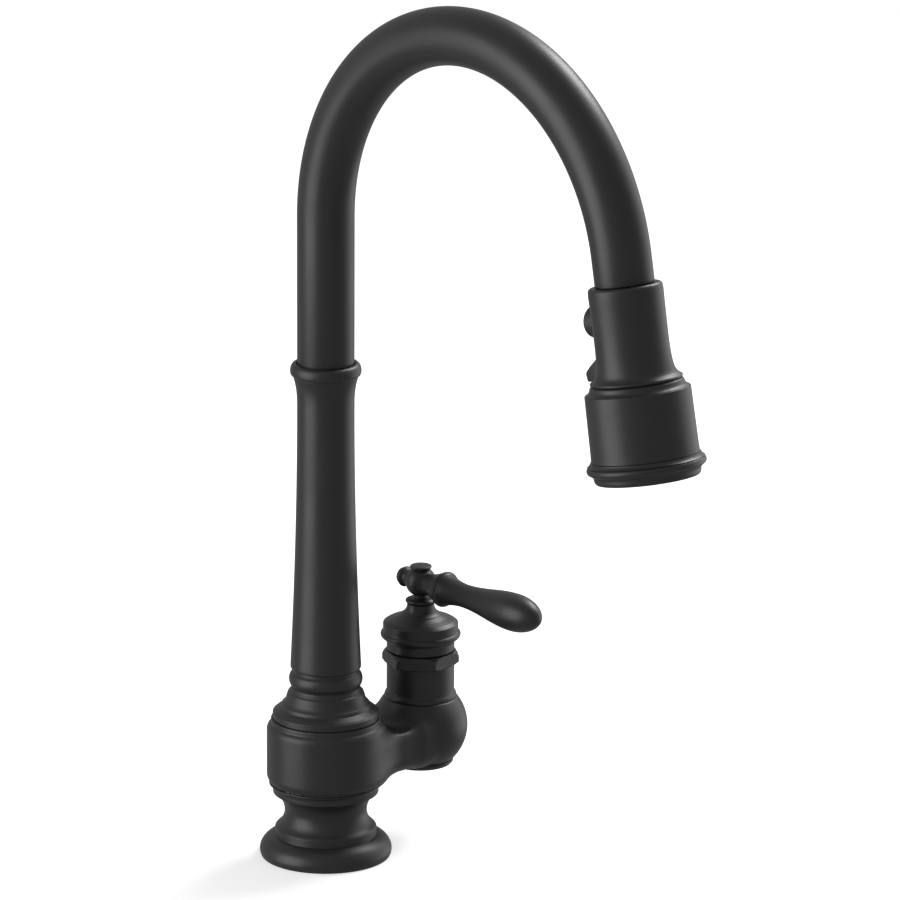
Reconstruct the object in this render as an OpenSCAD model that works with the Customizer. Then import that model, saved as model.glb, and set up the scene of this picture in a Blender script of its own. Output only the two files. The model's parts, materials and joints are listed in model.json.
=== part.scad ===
// Pull-down kitchen faucet: turned pedestal and column, swivelling gooseneck spout,
// pull-down spray head on a hose, and a side valve with a lever.
// Origin: middle of the pedestal's underside. +Z up, the spout reaches along -Y,
// the valve stands on the +X side.

/* [Spout] */
// Outside diameter of the spout tube
tube_d = 28.6; // [26:0.1:30]
// Wall of the spout tube
tube_wall = 1.6; // [1.2:0.1:1.8]
// Radius of the gooseneck, to the tube's centre line
arc_r = 106.66; // [80:1:130]
// Height of the centre of the gooseneck's arc
spring_z = 330.2; // [310:1:380]
// Turn of the gooseneck, in degrees
sweep = 169; // [150:1:180]
// Straight tube between the arc and the spray head
straight_len = 13.2; // [6:0.1:30]

/* [Column] */
// Smallest radius of the tapered column, below its collar
column_top_r = 14.27; // [14.2:0.05:15]
// Radius of the column at its foot
column_foot_r = 17.71; // [17:0.1:19]
// Height of the column's rim
column_top_z = 255.7; // [240:0.1:260]
// Widest radius of the pedestal's foot
foot_r = 33.2; // [32:0.1:36]
// Radius of the round body
barrel_r = 29.6; // [28.5:0.1:31]

/* [Valve] */
// Distance from the column's axis to the valve's axis
valve_x = 63.3; // [60:0.1:68]
// Radius of the ball that holds the cartridge
ball_r = 24; // [23.5:0.1:25]
// Radius of the sleeve above the ball
sleeve_r = 17.15; // [17:0.05:18]
// Height of the lever's pivot
pivot_z = 130.2; // [129:0.1:133]
// Length from the pivot to the lever's tip
lever_len = 87.8; // [80:0.5:100]

/* [Spray head] */
// Radius of the head's grip at its rim
grip_r = 17.87; // [17:0.05:18.5]
// Radius of the head's skirt at its top edge
skirt_r = 25.25; // [25:0.05:26]
// Radius of the round button
button_r = 7.85; // [7:0.05:8]
// Nozzles in the outer ring of the face
outer_nozzles = 30; // [20:1:36]

/* [Fixing below the deck] */
// Length of the shank below the deck
shank_len = 62; // [50:1:90]
// Thickness of the deck that the fixing is drawn for
deck_t = 24; // [12:1:30]

/* [Hidden] */
$fn = 96;
gap = 0.3;          // between curved faces of pieces that move
run = 0.05;         // radial clearance of a running fit
lap = 0.3;          // how far a straight length of pipe reaches over a bend of it
draw = 0.06;        // a bend is this much slimmer than the straight lengths
tube_r = tube_d / 2;
tube_bore_r = tube_r - tube_wall;
body_z0 = 38.4;     // underside of the round body
body_z1 = 72;       // top of the round body
ball_z = 54.7;      // centre of the ball and of the neck
sleeve_z0 = 70;     // seat of the valve sleeve on the ball
nut_z0 = 87.9;
nut_z1 = 94.4;
bonnet_z1 = 118.9;  // top of the bonnet's neck
ledge_z = 249.6;    // shelf in the column that the spout turns on
tube_z0 = 250.6;    // lower end of the spout tube
column_bore_r = 12.4;
nose_r = 11.4;      // swivel nose of the spout
nose_bore_r = 9.4;
nose_z0 = 200;
shank_r = 16;
shank_bore_r = 13;
nipple_r = 13.8;    // threaded tube that ties column and body together
nipple_bore_r = 10.8;
hose_r = 5.6;
supply_r = 4;
passage_z = 51;
inlet_end_x = valve_x - 14.7; // where the pipes meet the cartridge
splay = 20;         // lean of the inlet pipes below the shank, in degrees
splay_r = 40;
stub_len = 16;
stub_end_r = 4.76;  // 3/8 in pipe end for a compression joint
stem_r = 4;         // valve spindle
chamber_r = 14.6;   // bore for the cartridge
cartridge_r = 14.3;
rod_r = 1.25;       // rod inside the spindle
tilt = 180 - sweep; // lean of the spray head
mouth = [0, -arc_r - arc_r * cos(tilt) - straight_len * sin(tilt),
         spring_z + arc_r * sin(tilt) - straight_len * cos(tilt)];
head_len = 92.6;
plug_r = 9.5;       // docking plug of the head
stub_r = 6.75;      // swivel stub on the hose's end
core_r = 5.8;
face_z = 91.2;      // outer face of the spray plate

black = [0.13, 0.13, 0.135];
black_plastic = [0.08, 0.08, 0.085];
brass = [0.78, 0.62, 0.32];
steel = [0.70, 0.71, 0.73];
rubber = [0.05, 0.05, 0.05];
white_plastic = [0.90, 0.90, 0.88];
ceramic = [0.93, 0.92, 0.88];

// Points along part of an ellipse, from angle a0 to a1
function ellipse_pts(c, rx, ry, a0, a1, n = 8) =
  [for (i = [0:n]) let (a = a0 + (a1 - a0) * i / n) [c[0] + rx * cos(a), c[1] + ry * sin(a)]];
function arc_pts(c, r, a0, a1, n = 8) = ellipse_pts(c, r, r, a0, a1, n);
// Turns a half-section outline about the z axis
module turned(outline) rotate_extrude() polygon(outline);

// Ring between two radii, from z0 to z1
module ring(r_out, r_in, z0, z1)
  translate([0, 0, z0]) difference() {
    cylinder(r = r_out, h = z1 - z0);
    translate([0, 0, -1]) cylinder(r = r_in, h = z1 - z0 + 2);
  }

// Round rod from z0 to z1
module rod(r, z0, z1) translate([0, 0, z0]) cylinder(r = r, h = z1 - z0);

// Places a piece drawn around the valve's axis
module at_valve() translate([valve_x, 0, 0]) children();

// Places a piece drawn along the spray head: z runs out of the tube's mouth, and the
// button side, which faces the column, is -y
module at_head() translate(mouth) rotate([sweep, 0, 0]) children();

// Places a piece drawn along the lever: z runs from the pivot to the tip
module at_lever() translate([valve_x, 0, pivot_z]) rotate([90, 0, 0]) children();

// ---------------------------------------------------------------- pedestal and body

module deck_gasket() color(rubber) ring(30.5, 27.5, 0, 1.4);

// Turned foot with a bead, a step, a waist and a ring under the body
module pedestal() {
  waist_r = 20.67;
  waist_z = 23.4;
  low = 9.6;
  high = 11.8;
  outline = concat(
    [[27.2, 0], [foot_r - 0.75, 0]],
    ellipse_pts([foot_r - 13, 3], 13, 9, -15, 56, 12),
    [[26.7, 10.7], [25.5, 11.1], [25.4, 14.5], [25, 14.9]],
    arc_pts([waist_r + low, waist_z], low, 234, 180, 8),
    arc_pts([waist_r + high, waist_z], high, 180, 134, 8),
    [[26.1, 33], [26.5, 33.5], [26.6, 34.6], [27, 35.9], [27.7, 37.2], [28, 38], [28, body_z0]],
    [[shank_r + gap, body_z0], [shank_r + gap, 5], [27.2, 5]]);
  color(black) difference() {
    turned(outline);
    translate([0, 0, -1]) ring(30.6, 27.4, 0, 2.5);
  }
}

// Section of the neck between the round body and the ball, about the ball's centre
module neck_section() {
  half_w = 20.5;
  low_r = 8;
  high_r = 4;
  low_z = body_z0 + 0.2 - ball_z;
  high_z = 60.5 - ball_z;
  half = concat(arc_pts([half_w - low_r, low_z + low_r], low_r, -90, 0),
                arc_pts([half_w - high_r, high_z - high_r], high_r, 0, 90));
  polygon(concat(half, [for (i = [len(half) - 1:-1:0]) [-half[i][0], half[i][1]]]));
}

// Water passage through the neck
module neck_passage() translate([0, 0, passage_z]) rotate([0, 90, 0]) cylinder(r = 10, h = 50);

// Round body, neck and ball in one casting
module body_shell() {
  outline = concat(
    [[0, body_z0], [28.4, body_z0]],
    ellipse_pts([barrel_r - 3, body_z0 + 4.6], 3, 4.4, -60, 0, 6),
    arc_pts([barrel_r - 4, body_z1 - 6], 4, 0, 60, 8),
    [[27.4, body_z1], [0, body_z1]]);
  color(black) difference() {
    union() {
      turned(outline);
      translate([0, 0, ball_z]) rotate([90, 0, 90]) linear_extrude(valve_x) neck_section();
      at_valve() intersection() {
        translate([0, 0, ball_z]) sphere(r = ball_r);
        translate([-30, -30, 37.2]) cube([60, 60, sleeve_z0 - 37.2]);
      }
    }
    // cavity of the round body, its floor bore for the shank and its roof bore
    rod(21.5, 45, 64);
    rod(shank_r, 30, 46);
    rod(nipple_r, 60, 80);
    neck_passage();
    at_valve() {
      rod(chamber_r, 44, 80);
      rod(12.5, 30, 41);
    }
  }
}

module shoulder_cap() {
  outline = concat(
    [[nipple_r, body_z1], [26.4, body_z1], [26.6, 72.6], [26.6, 75.1], [26.1, 75.8]],
    [[25.1, 76.4], [22.6, 78]],
    arc_pts([26, 84.6], 6.4, 232, 190, 6),
    [[19, 85.4], [18.3, 86.4], [17.5, 87.4], [17.2, 88.4], [nipple_r, 88.4]]);
  color(black) turned(outline);
}

module bead_ring() {
  outline = concat(
    [[nipple_r, 88.4], [17.2, 88.4]],
    ellipse_pts([15.9, 92.5], 2.55, 3.9, -60, 60, 10),
    [[16.5, 96.6], [16.5, 98], [nipple_r, 98]]);
  color(black) turned(outline);
}

// Tapered column with a flared collar
module column_sleeve() {
  foot_z = 98;
  neck_z = 229;
  flare_z = 234;
  lip_z = ledge_z - 0.6;
  flare = 2.03;
  outline = concat(
    [[nipple_r, foot_z], [17.2, foot_z], [17.6, 98.6]],
    [for (i = [0:14]) let (t = i / 14, z = 99.8 + (neck_z - 99.8) * t)
      [column_top_r + (column_foot_r - column_top_r) * pow(1 - t, 1.85), z]],
    [for (i = [0:8]) let (t = i / 8)
      [column_top_r + flare * pow(t, 2.5), flare_z + (lip_z - flare_z) * t]],
    ellipse_pts([14.7, column_top_z - 3.8], 2.47, 3.8, -30, 84, 10),
    [[tube_r + gap, column_top_z], [tube_r + gap, ledge_z], [column_bore_r, ledge_z]],
    [[column_bore_r, 112], [nipple_r, 112]]);
  color(black) turned(outline);
}

module column_nipple() color(brass) ring(nipple_r, nipple_bore_r, 60, 112);
module upper_bush() color(white_plastic) ring(column_bore_r, nose_r + run, 236, 248);
module lower_bush() color(white_plastic) ring(column_bore_r, nose_r + run, 206, 216);
module spout_washer() color(white_plastic) ring(tube_r, column_bore_r + 0.2, ledge_z, tube_z0 - 0.2);

// ---------------------------------------------------------------- fixing below the deck

module mounting_shank() color(brass) difference() {
  ring(shank_r, shank_bore_r, -shank_len, 45);
  neck_passage();
}

module deck_washer() color(rubber) ring(27, shank_r + 0.5, -deck_t - 3, -deck_t);
module steel_washer() color(steel) ring(26, shank_r + 0.5, -deck_t - 5, -deck_t - 3);

module mounting_nut() color(brass) difference() {
  rod(26, -deck_t - 20, -deck_t - 8);
  rod(shank_r, -deck_t - 21, -deck_t - 7);
  for (a = [0, 180]) rotate(a) translate([21, 0, 0]) rod(2.5, -deck_t - 21, -deck_t - 7);
}

module nut_screws() color(steel) for (a = [0, 180]) rotate(a) translate([21, 0, 0]) {
  rod(2.5, -deck_t - 24, -deck_t - 5);
  rod(4.2, -deck_t - 28, -deck_t - 24);
}

// ---------------------------------------------------------------- water lines

// Part of a bent pipe in the XZ plane, about centre c, from angle a0 to a1
module bend(c, path_r, r, a0, a1) translate([c[0], 0, c[1]]) rotate([90, 0, 0]) rotate(a0)
  rotate_extrude(angle = a1 - a0) translate([path_r, 0]) circle(r = r - draw);

// Pipe at x that climbs the shank, bends over at height top_z and runs to the valve
module riser(x, r, bend_r, low_z, top_z) translate([x, 0, 0]) {
  rod(r, low_z, top_z - bend_r + lap);
  bend([bend_r, top_z - bend_r], bend_r, r, 90, 180);
  translate([bend_r - lap, 0, top_z]) rotate([0, 90, 0])
    cylinder(r = r, h = inlet_end_x - x - bend_r + lap);
}

// Inlet pipe: splayed outwards below the shank, with a stub for a compression joint
module inlet_pipe() {
  x = 2.8;
  low_z = -shank_len - 2;
  translate([0, 5.2, 0]) {
    riser(x, supply_r, 8, low_z - lap, 53.2);
    translate([x, 0, 0]) rotate(90) bend([splay_r, low_z], splay_r, supply_r, 180, 180 + splay);
    translate([x, splay_r * (1 - cos(splay)), low_z - splay_r * sin(splay)]) rotate([splay, 0, 0]) {
      rod(supply_r, -8, lap);
      rod(stub_end_r, -8 - stub_len, -8);
    }
  }
}

module hot_inlet_pipe() color(brass) inlet_pipe();
module cold_inlet_pipe() color(brass) mirror([0, 1, 0]) inlet_pipe();

module outlet_pipe() color(brass) riser(8.8, 3.6, 5, -82, 45.6);

// Quick-connect plug at the end of a line
module coupling(r, z) {
  rod(r, z - 16, z);
  rod(4, z - 24, z - 16);
}

// Plugs of the valve's outlet line and of the spray hose
module line_couplings() color(brass) {
  translate([8.8, 0, 0]) coupling(5.2, -82);
  translate([-6.8, 0, 0]) coupling(6.6, -84);
}

// Hose beside the pipes in the shank, then on the column's axis above the body
module spray_hose_lower() {
  shift = 6.8;
  swing_z = 30;    // where the swing to the axis starts
  swing_h = 76;
  sides = 16;
  levels = concat([-84], [for (i = [0:10]) swing_z + swing_h * i / 10], [240]);
  function way(z) = let (t = min(1, max(0, (z - swing_z) / swing_h))) shift * (t * t * (3 - 2 * t) - 1);
  rings = [for (z = levels, i = [0:sides - 1])
    let (a = 360 * i / sides) [way(z) + hose_r * cos(a), hose_r * sin(a), z]];
  walls = [for (k = [0:len(levels) - 2], i = [0:sides - 1])
    let (a = k * sides + i, b = k * sides + (i + 1) % sides) [a, a + sides, b + sides, b]];
  color(rubber) polyhedron(rings, concat(
    walls, [[for (i = [0:sides - 1]) i]],
    [[for (i = [sides - 1:-1:0]) len(rings) - sides + i]]));
}

// ---------------------------------------------------------------- valve

module base_plug() color(black) at_valve() {
  turned(concat([[0, 34.6]], arc_pts([15.6, 35.8], 1.2, -90, 0, 4), [[16.8, 37.2], [0, 37.2]]));
  rod(12.5, 37.2, 41);
}

module valve_sleeve() color(black) at_valve() turned(
  [[chamber_r, sleeve_z0], [18.3, sleeve_z0], [18.4, 70.6], [18.1, 71.8], [17.7, 72.2],
   [sleeve_r + 0.2, 72.8], [sleeve_r, 73.8], [sleeve_r, 87.6], [chamber_r, 87.6]]);

module cartridge_body() color(white_plastic) at_valve() difference() {
  rod(cartridge_r, 45.6, 84);
  rod(11, 50, 85);
  for (a = [90, 210, 330]) rotate(a) translate([6, 0, 0]) rod(1.9, 45, 51);
}

module cartridge_cap() color(brass) at_valve() ring(cartridge_r, stem_r + run, 84, 92);

module cartridge_seals() color(rubber) at_valve() for (a = [90, 210, 330])
  rotate(a) translate([6, 0, 0]) ring(3.2, 1.9, 44, 45.6);

module fixed_disc() color(ceramic) at_valve() difference() {
  rod(10.9, 50, 54);
  for (a = [90, 210, 330]) rotate(a) translate([6, 0, 0]) rod(1.9, 49, 55);
}

// Six-sided nut with chamfered corners
module retaining_nut() {
  corner_r = 19.8;
  nut_turn = 10.5;
  color(black) at_valve() difference() {
    union() {
      intersection() {
        rotate(nut_turn) translate([0, 0, nut_z0]) cylinder(r = corner_r, h = nut_z1 - nut_z0, $fn = 6);
        turned([[0, nut_z0], [18.6, nut_z0], [corner_r, nut_z0 + 1], [corner_r, nut_z0 + 3.2],
                [17.6, nut_z1], [0, nut_z1]]);
      }
      rod(14.9, nut_z1, 100);
    }
    rod(chamber_r - 0.2, 80, 101);
  }
}

// Domed cover with a bead and a slim neck for the spindle
module bonnet() {
  wall_r = 19.05;
  outline = concat(
    [[15, nut_z1 + gap], [16.7, nut_z1 + gap], [sleeve_r, nut_z1 + 0.9], [sleeve_r, 98.6]],
    arc_pts([sleeve_r + 1.8, 98.9], 1.8, 180, 90, 4),
    ellipse_pts([18.1, 102.8], 2.2, 1.9, -70, 60, 8),
    [[wall_r, 105.4], [wall_r, 108.7]],
    arc_pts([wall_r - 1.2, 108.7], 1.2, 10, 80, 4),
    [[16.6, 110.3], [13, 111.7], [10.6, 112.9]],
    arc_pts([12.6, 118.6], 5.7, 247, 186, 6),
    [[6.9, bonnet_z1], [stem_r + run, bonnet_z1], [stem_r + run, 108], [15, 106]]);
  color(black) at_valve() turned(outline);
}

// Spindle with the flange under the lever's ball and the eye for the pivot pin
module spindle() {
  flange_r = 7.75;
  eye_r = 3;
  pin_r = 1;
  color(black) at_valve() difference() {
    union() {
      rod(8, 66, 71);
      rod(stem_r, 66, bonnet_z1 + gap);
      turned(concat([[0, bonnet_z1 + gap], [6.9, bonnet_z1 + gap]],
        arc_pts([flange_r - 0.9, 120.3], 0.9, -60, 70, 5), [[6, 121.7], [0, 121.7]]));
      rod(eye_r, 120, pivot_z);
      translate([-2.9, 0, pivot_z]) rotate([0, 90, 0]) cylinder(r = eye_r, h = 5.8);
    }
    translate([-10, 0, pivot_z]) rotate([0, 90, 0]) cylinder(r = pin_r + run, h = 20);
    rod(rod_r + run, 60, 127.4);
  }
}

module flow_plunger() color(steel) at_valve() {
  rod(9, 54.3, 58);
  rod(rod_r, 54.3, 124);
}

// ---------------------------------------------------------------- lever

module hub_ball() {
  hub_r = 7.8;
  slot = 3.2;
  color(black) translate([valve_x, 0, pivot_z]) difference() {
    sphere(r = hub_r);
    // room for the spindle's eye and for the spindle at every lift of the lever
    rotate([0, 90, 0]) translate([0, 0, -slot]) cylinder(r = 3.4, h = 2 * slot);
    rotate([90, 0, 90]) translate([0, 0, -slot]) linear_extrude(2 * slot)
      polygon([[3.4, 0.5], [-3.4, 0.5], [-3.4, -9], [7.4, -9], [5.3, -4]]);
    translate([-10, 0, 0]) rotate([0, 90, 0]) cylinder(r = 1, h = 20);
    rotate([-90, 0, 0]) rod(1.5, 3, 8);
    // seats of the cap, the finial and the lever
    translate([0, 0, 7]) cylinder(r = 6, h = 4);
    rotate([-90, 0, 0]) translate([0, 0, 7]) cylinder(r = 6, h = 4);
    rotate([90, 0, 0]) translate([0, 0, 6]) cylinder(r = 8, h = 4);
  }
}

module hub_cap() color(black) translate([valve_x, 0, pivot_z]) turned(concat(
  [[0, 7], [5, 7]], arc_pts([4.9, 7.9], 0.6, -60, 60, 5), [[3.2, 8.8], [0, 9]]));

module hub_finial() color(black) at_lever() mirror([0, 0, 1]) turned(concat(
  [[0, 7], [4.1, 7], [3.9, 8.4], [4, 9.6], [4.7, 10.4]],
  arc_pts([4.4, 11.4], 0.9, -50, 60, 5), [[4.2, 12.4], [4.5, 13.2], [4.1, 14], [2, 14.3], [0, 14.3]]));

// Handle: collar, slim neck and a drop-shaped grip
module lever_handle() {
  bulb_z = lever_len - 17.9;
  bulb_r = 9.52;
  neck_r = 5.93;
  neck_z = 32.6;
  outline = concat(
    [[0, 6], [5.4, 6], [5.6, 8], [6.2, 11], [7.4, 14.4], [8.4, 16.4]],
    arc_pts([8.1, 18.4], 1.05, -50, 70, 6),
    [[8, 20.6], [7.3, 22.6], [6.7, 25.2], [6.2, 28.4]],
    [for (i = [0:8]) let (t = i / 8)
      [neck_r + (bulb_r - neck_r) * (1 - cos(180 * pow(t, 1.05))) / 2, neck_z + (bulb_z - neck_z) * t]],
    ellipse_pts([0, bulb_z], bulb_r, lever_len - bulb_z, 8, 90, 10));
  color(black) at_lever() turned(outline);
}

module pivot_pin() color(steel) translate([valve_x - 6.8, 0, pivot_z]) rotate([0, 90, 0])
  cylinder(r = 1, h = 13.6);

module set_screw() color(steel) translate([valve_x, 0, pivot_z]) rotate([-90, 0, 0]) rod(1.5, 4, 7);

// ---------------------------------------------------------------- spout

// Round bar along the spout's centre line, from the lower end to the mouth
module along_spout(r, low_z, last) {
  rod(r, low_z, spring_z + lap);
  translate([0, -arc_r, spring_z]) rotate([90, 0, 90])
    rotate_extrude(angle = sweep, $fn = 180) translate([arc_r, 0]) circle(r = r - draw);
  at_head() rod(r, -straight_len - lap, last);
}

module spout_tube() color(black) difference() {
  along_spout(tube_r, tube_z0, 0);
  along_spout(tube_bore_r, tube_z0 - 1, 1);
}

module spout_nose() color(brass) difference() {
  union() {
    rod(nose_r, nose_z0, tube_z0);
    rod(tube_bore_r, tube_z0, 264);
  }
  rod(nose_bore_r, nose_z0 - 1, 265);
  ring(nose_r + 1, nose_r - 0.6, 203, 204.6);
}

module spout_clip() color(steel) difference() {
  ring(column_bore_r - gap, nose_r - 0.6, 203, 204.6);
  translate([0, 0, 202]) translate([-2, 5, 0]) cube([4, 12, 4]);
}

module dock_socket() color(black_plastic) at_head() difference() {
  union() {
    rod(tube_bore_r - 1, -20, -0.6);
    rod(tube_bore_r, -straight_len + 0.2, -0.6);
  }
  rod(plug_r + gap, -12.6, 0);
  rod(7.2, -21, 0);
  ring(12.1, 10.5, -9, -3);
}

module dock_magnet() color(steel) at_head() ring(12.1, 10.5, -9, -3);

module spray_hose_upper() color(rubber) {
  rod(hose_r, 240, spring_z + lap);
  translate([0, -arc_r, spring_z]) rotate([90, 0, 90])
    rotate_extrude(angle = sweep - 10, $fn = 180) translate([arc_r, 0]) circle(r = hose_r - draw);
}

// ---------------------------------------------------------------- hose end

module hose_ferrule() color(steel) at_head() ring(6.3, 3.5, -30, -14);

module hose_swivel() color(brass) at_head() difference() {
  union() {
    rod(5.2, -14, -11.6);
    rod(stub_r, -11.6, 8.4);
    rod(8.4, 8.4, 10.6);
  }
  rod(3.5, -15, 13);
  for (z = [-6, 2]) ring(stub_r + 1, stub_r - 1.2, z, z + 2);
}

module swivel_seals() color(rubber) at_head() for (z = [-6, 2]) ring(stub_r, stub_r - 1.2, z, z + 2);

// ---------------------------------------------------------------- spray head

module docking_plug() color(black_plastic) at_head() difference() {
  union() {
    rod(plug_r, -12, gap);
    rod(12.5, gap, 8);
  }
  rod(stub_r + run, -13, 9);
  ring(11.6, 9, 4.4, 8.5);
}

module plug_magnet() color(steel) at_head() ring(11.6, 9, 4.4, 8);

// Grip with the wells for the button and the thumb tab
module grip_shell() {
  low_r = 17.6;
  edge_z = 44.9;
  flare_z = 24;
  outline = concat(
    [[12.5, gap], [grip_r - 2.2, gap]],
    arc_pts([grip_r - 2, gap + 1.8], 1.8, -80, 0, 6),
    [[grip_r, 3.6], [17.7, 12]],
    [for (i = [0:10]) let (t = i / 10)
      [low_r + 1.9 * pow(t, 3) + 2.6 * pow(t, 14), flare_z + (edge_z - flare_z) * t]],
    [[21.7, 45.6], [21.2, 46.4], [15.4, 46.4], [15.4, 8], [12.5, 8]]);
  color(black) at_head() difference() {
    union() {
      turned(outline);
      intersection() {
        translate([0, -10.2, 17.8]) rotate([90, 0, 0]) cylinder(r = button_r + 1.8, h = 6);
        rod(16.5, 0, 40);
      }
    }
    translate([0, -11.7, 17.8]) rotate([90, 0, 0]) cylinder(r = button_r + gap, h = 20);
    translate([0, 0, 17.8]) rotate([90, 0, 0]) cylinder(r = 2.3, h = 20);
    translate([-8.8, -30, 34]) cube([17.6, 30, 11.7]);
  }
}

module head_core() color(white_plastic) at_head() difference() {
  union() {
    rod(core_r, 13.4, 60);
    rod(9.6, 13.4, 14.6);
    rod(22.6, 60, 62);
  }
  rod(4, 13, 63);
}

module check_valve() color(black_plastic) at_head() ring(4, 2.6, 18, 28);

module cove_band() {
  outline = concat(
    [[15.4, 46.4], [21.9, 46.4], [22.4, 46.8], [22.5, 47.6]],
    arc_pts([25.4, 47.4], 2.7, 170, 108, 5),
    [[24.7, 50.4], [15.4, 50.4]]);
  color(black) at_head() turned(outline);
}

module skirt() {
  top_z = 50.4;
  low_z = 82;
  outline = concat(
    [[24, top_z], [skirt_r - 0.5, top_z]],
    arc_pts([skirt_r - 0.6, top_z + 0.6], 0.6, -80, 0, 4),
    [[25.5, 68], [25.65, 78], [25.9, low_z], [24, low_z]]);
  color(black) at_head() turned(outline);
}

// Inner cup of the head, between the grip and the spray plate
module spray_housing() color(black_plastic) at_head() difference() {
  union() {
    rod(15.1, 46.4, 51);
    rod(24, 50.4, 88);
  }
  rod(core_r + gap, 46, 60);
  rod(22.8, 58, 89);
}

module trim_ring() {
  outline = concat(
    [[24, 82], [25.9, 82]],
    arc_pts([29.6, 81.3], 3.2, 160, 112, 4),
    ellipse_pts([26.9, 86], 1.6, 1.9, -60, 66, 8),
    [[26, 89], [25.6, 89.4], [25.5, 91.2], [25.1, 92.1], [24.5, head_len], [23.6, head_len]],
    [[23.6, 88], [24, 88]]);
  color(black) at_head() turned(outline);
}

// Places children on the two rings of nozzles
module nozzle_places() {
  for (i = [0:outer_nozzles - 1]) rotate(360 * i / outer_nozzles) translate([20.4, 0, 0]) children();
  for (i = [0:outer_nozzles * 2 / 3 - 1]) rotate(540 * i / outer_nozzles) translate([15.4, 0, 0])
    children();
}

module spray_plate() color(black_plastic) at_head() difference() {
  rod(22.8, 86, face_z);
  rod(10.5, 85, face_z + 1);
  nozzle_places() rod(1.1, 85, face_z + 1);
}

module spray_nozzles() color(rubber) at_head() nozzle_places() rod(1.1, 86, face_z + 0.9);

module aerator() color(black_plastic) at_head() difference() {
  rod(10.5, 80, face_z);
  rod(8.4, 84, face_z + 1);
  for (x = [-6:2:6], y = [-6:2:6]) if (norm([x, y]) < 7.6) translate([x, y, 0]) rod(0.6, 79, 85);
}

// Round push button: a hollow cap on a stem
module button() {
  out = 23.9;
  color(black) at_head() translate([0, 0, 17.8]) rotate([90, 0, 0]) difference() {
    turned(concat([[0, 8.2], [2, 8.2], [2, 21.6], [6.6, 21.6], [6.6, 14.2], [button_r, 14.2]],
      arc_pts([button_r - 1.3, out - 1.3], 1.3, 0, 80, 5), [[0, out + 0.2]]));
  }
}

// Coil spring under the button, drawn at its pressed length
module button_spring() {
  coil_r = 4.4;
  turns = 4;
  color(steel) at_head() translate([0, -12.2, 17.8]) rotate([90, 0, 0])
    for (i = [0:turns]) translate([0, 0, 0.5 + i * 1.5])
      rotate_extrude($fn = 48) translate([coil_r, 0]) circle(r = 0.45, $fn = 16);
}

// Thumb tab: a wedge in a window of the grip
module thumb_tab() {
  half_w = 8.5;
  color(black) at_head() {
    translate([-half_w, 0, 0]) rotate([90, 0, 90]) linear_extrude(2 * half_w)
      polygon(concat([[-10.4, 34.4], [-17.2, 34.4], [-24.2, 40.5]],
        arc_pts([-23.5, 42], 1.8, 220, 180, 3),
        [[-25.3, 43.6], [-25, 44.8], [-24.4, 45.3], [-10.4, 45.3]]));
    translate([-9.6, -11.2, 33.2]) cube([19.2, 1.4, 12.9]);
  }
}

deck_gasket();
pedestal();
body_shell();
shoulder_cap();
bead_ring();
column_sleeve();
column_nipple();
upper_bush();
lower_bush();
spout_washer();
mounting_shank();
deck_washer();
steel_washer();
mounting_nut();
nut_screws();
hot_inlet_pipe();
cold_inlet_pipe();
outlet_pipe();
line_couplings();
spray_hose_lower();
base_plug();
valve_sleeve();
cartridge_body();
cartridge_cap();
cartridge_seals();
fixed_disc();
retaining_nut();
bonnet();
spout_tube();
spout_nose();
spout_clip();
dock_socket();
dock_magnet();
spray_hose_upper();
hose_ferrule();
hose_swivel();
swivel_seals();
grip_shell();
docking_plug();
plug_magnet();
head_core();
check_valve();
cove_band();
skirt();
spray_housing();
trim_ring();
spray_plate();
spray_nozzles();
aerator();
button_spring();
button();
thumb_tab();
spindle();
flow_plunger();
hub_ball();
hub_cap();
hub_finial();
lever_handle();
pivot_pin();
set_screw();
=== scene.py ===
import json
import math

import bmesh
import bpy
import numpy as np
from bpy.props import FloatProperty, FloatVectorProperty, IntProperty, PointerProperty
from mathutils import Matrix, Quaternion, Vector

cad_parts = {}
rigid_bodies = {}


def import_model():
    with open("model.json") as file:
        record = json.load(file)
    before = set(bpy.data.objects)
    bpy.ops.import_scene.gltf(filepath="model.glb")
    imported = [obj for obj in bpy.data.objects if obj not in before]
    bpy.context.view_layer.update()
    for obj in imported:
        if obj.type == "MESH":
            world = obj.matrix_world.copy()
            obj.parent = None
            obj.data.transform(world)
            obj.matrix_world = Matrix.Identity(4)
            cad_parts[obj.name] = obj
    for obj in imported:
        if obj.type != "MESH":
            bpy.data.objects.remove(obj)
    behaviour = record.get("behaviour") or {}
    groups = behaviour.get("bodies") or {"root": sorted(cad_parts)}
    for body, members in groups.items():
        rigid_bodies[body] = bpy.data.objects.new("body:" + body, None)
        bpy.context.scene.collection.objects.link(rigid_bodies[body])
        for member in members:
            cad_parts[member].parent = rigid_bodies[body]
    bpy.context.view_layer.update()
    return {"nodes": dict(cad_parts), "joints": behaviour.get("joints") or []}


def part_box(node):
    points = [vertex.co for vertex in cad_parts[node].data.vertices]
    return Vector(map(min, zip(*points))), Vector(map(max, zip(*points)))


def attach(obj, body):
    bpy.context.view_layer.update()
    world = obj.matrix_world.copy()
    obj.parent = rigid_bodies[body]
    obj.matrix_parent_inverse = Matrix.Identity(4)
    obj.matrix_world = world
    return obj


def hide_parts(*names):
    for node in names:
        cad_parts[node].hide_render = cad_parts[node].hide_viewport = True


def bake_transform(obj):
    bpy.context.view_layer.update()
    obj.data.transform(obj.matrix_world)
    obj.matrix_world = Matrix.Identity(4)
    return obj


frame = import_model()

bl_info = {
    "name": "Pull-down kitchen faucet",
    "version": (1, 0, 0),
    "blender": (4, 5, 0),
    "location": "View3D > Sidebar > Faucet",
    "description": "Builds the visible pieces of a matte black pull-down kitchen faucet",
    "category": "Object",
}

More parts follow.
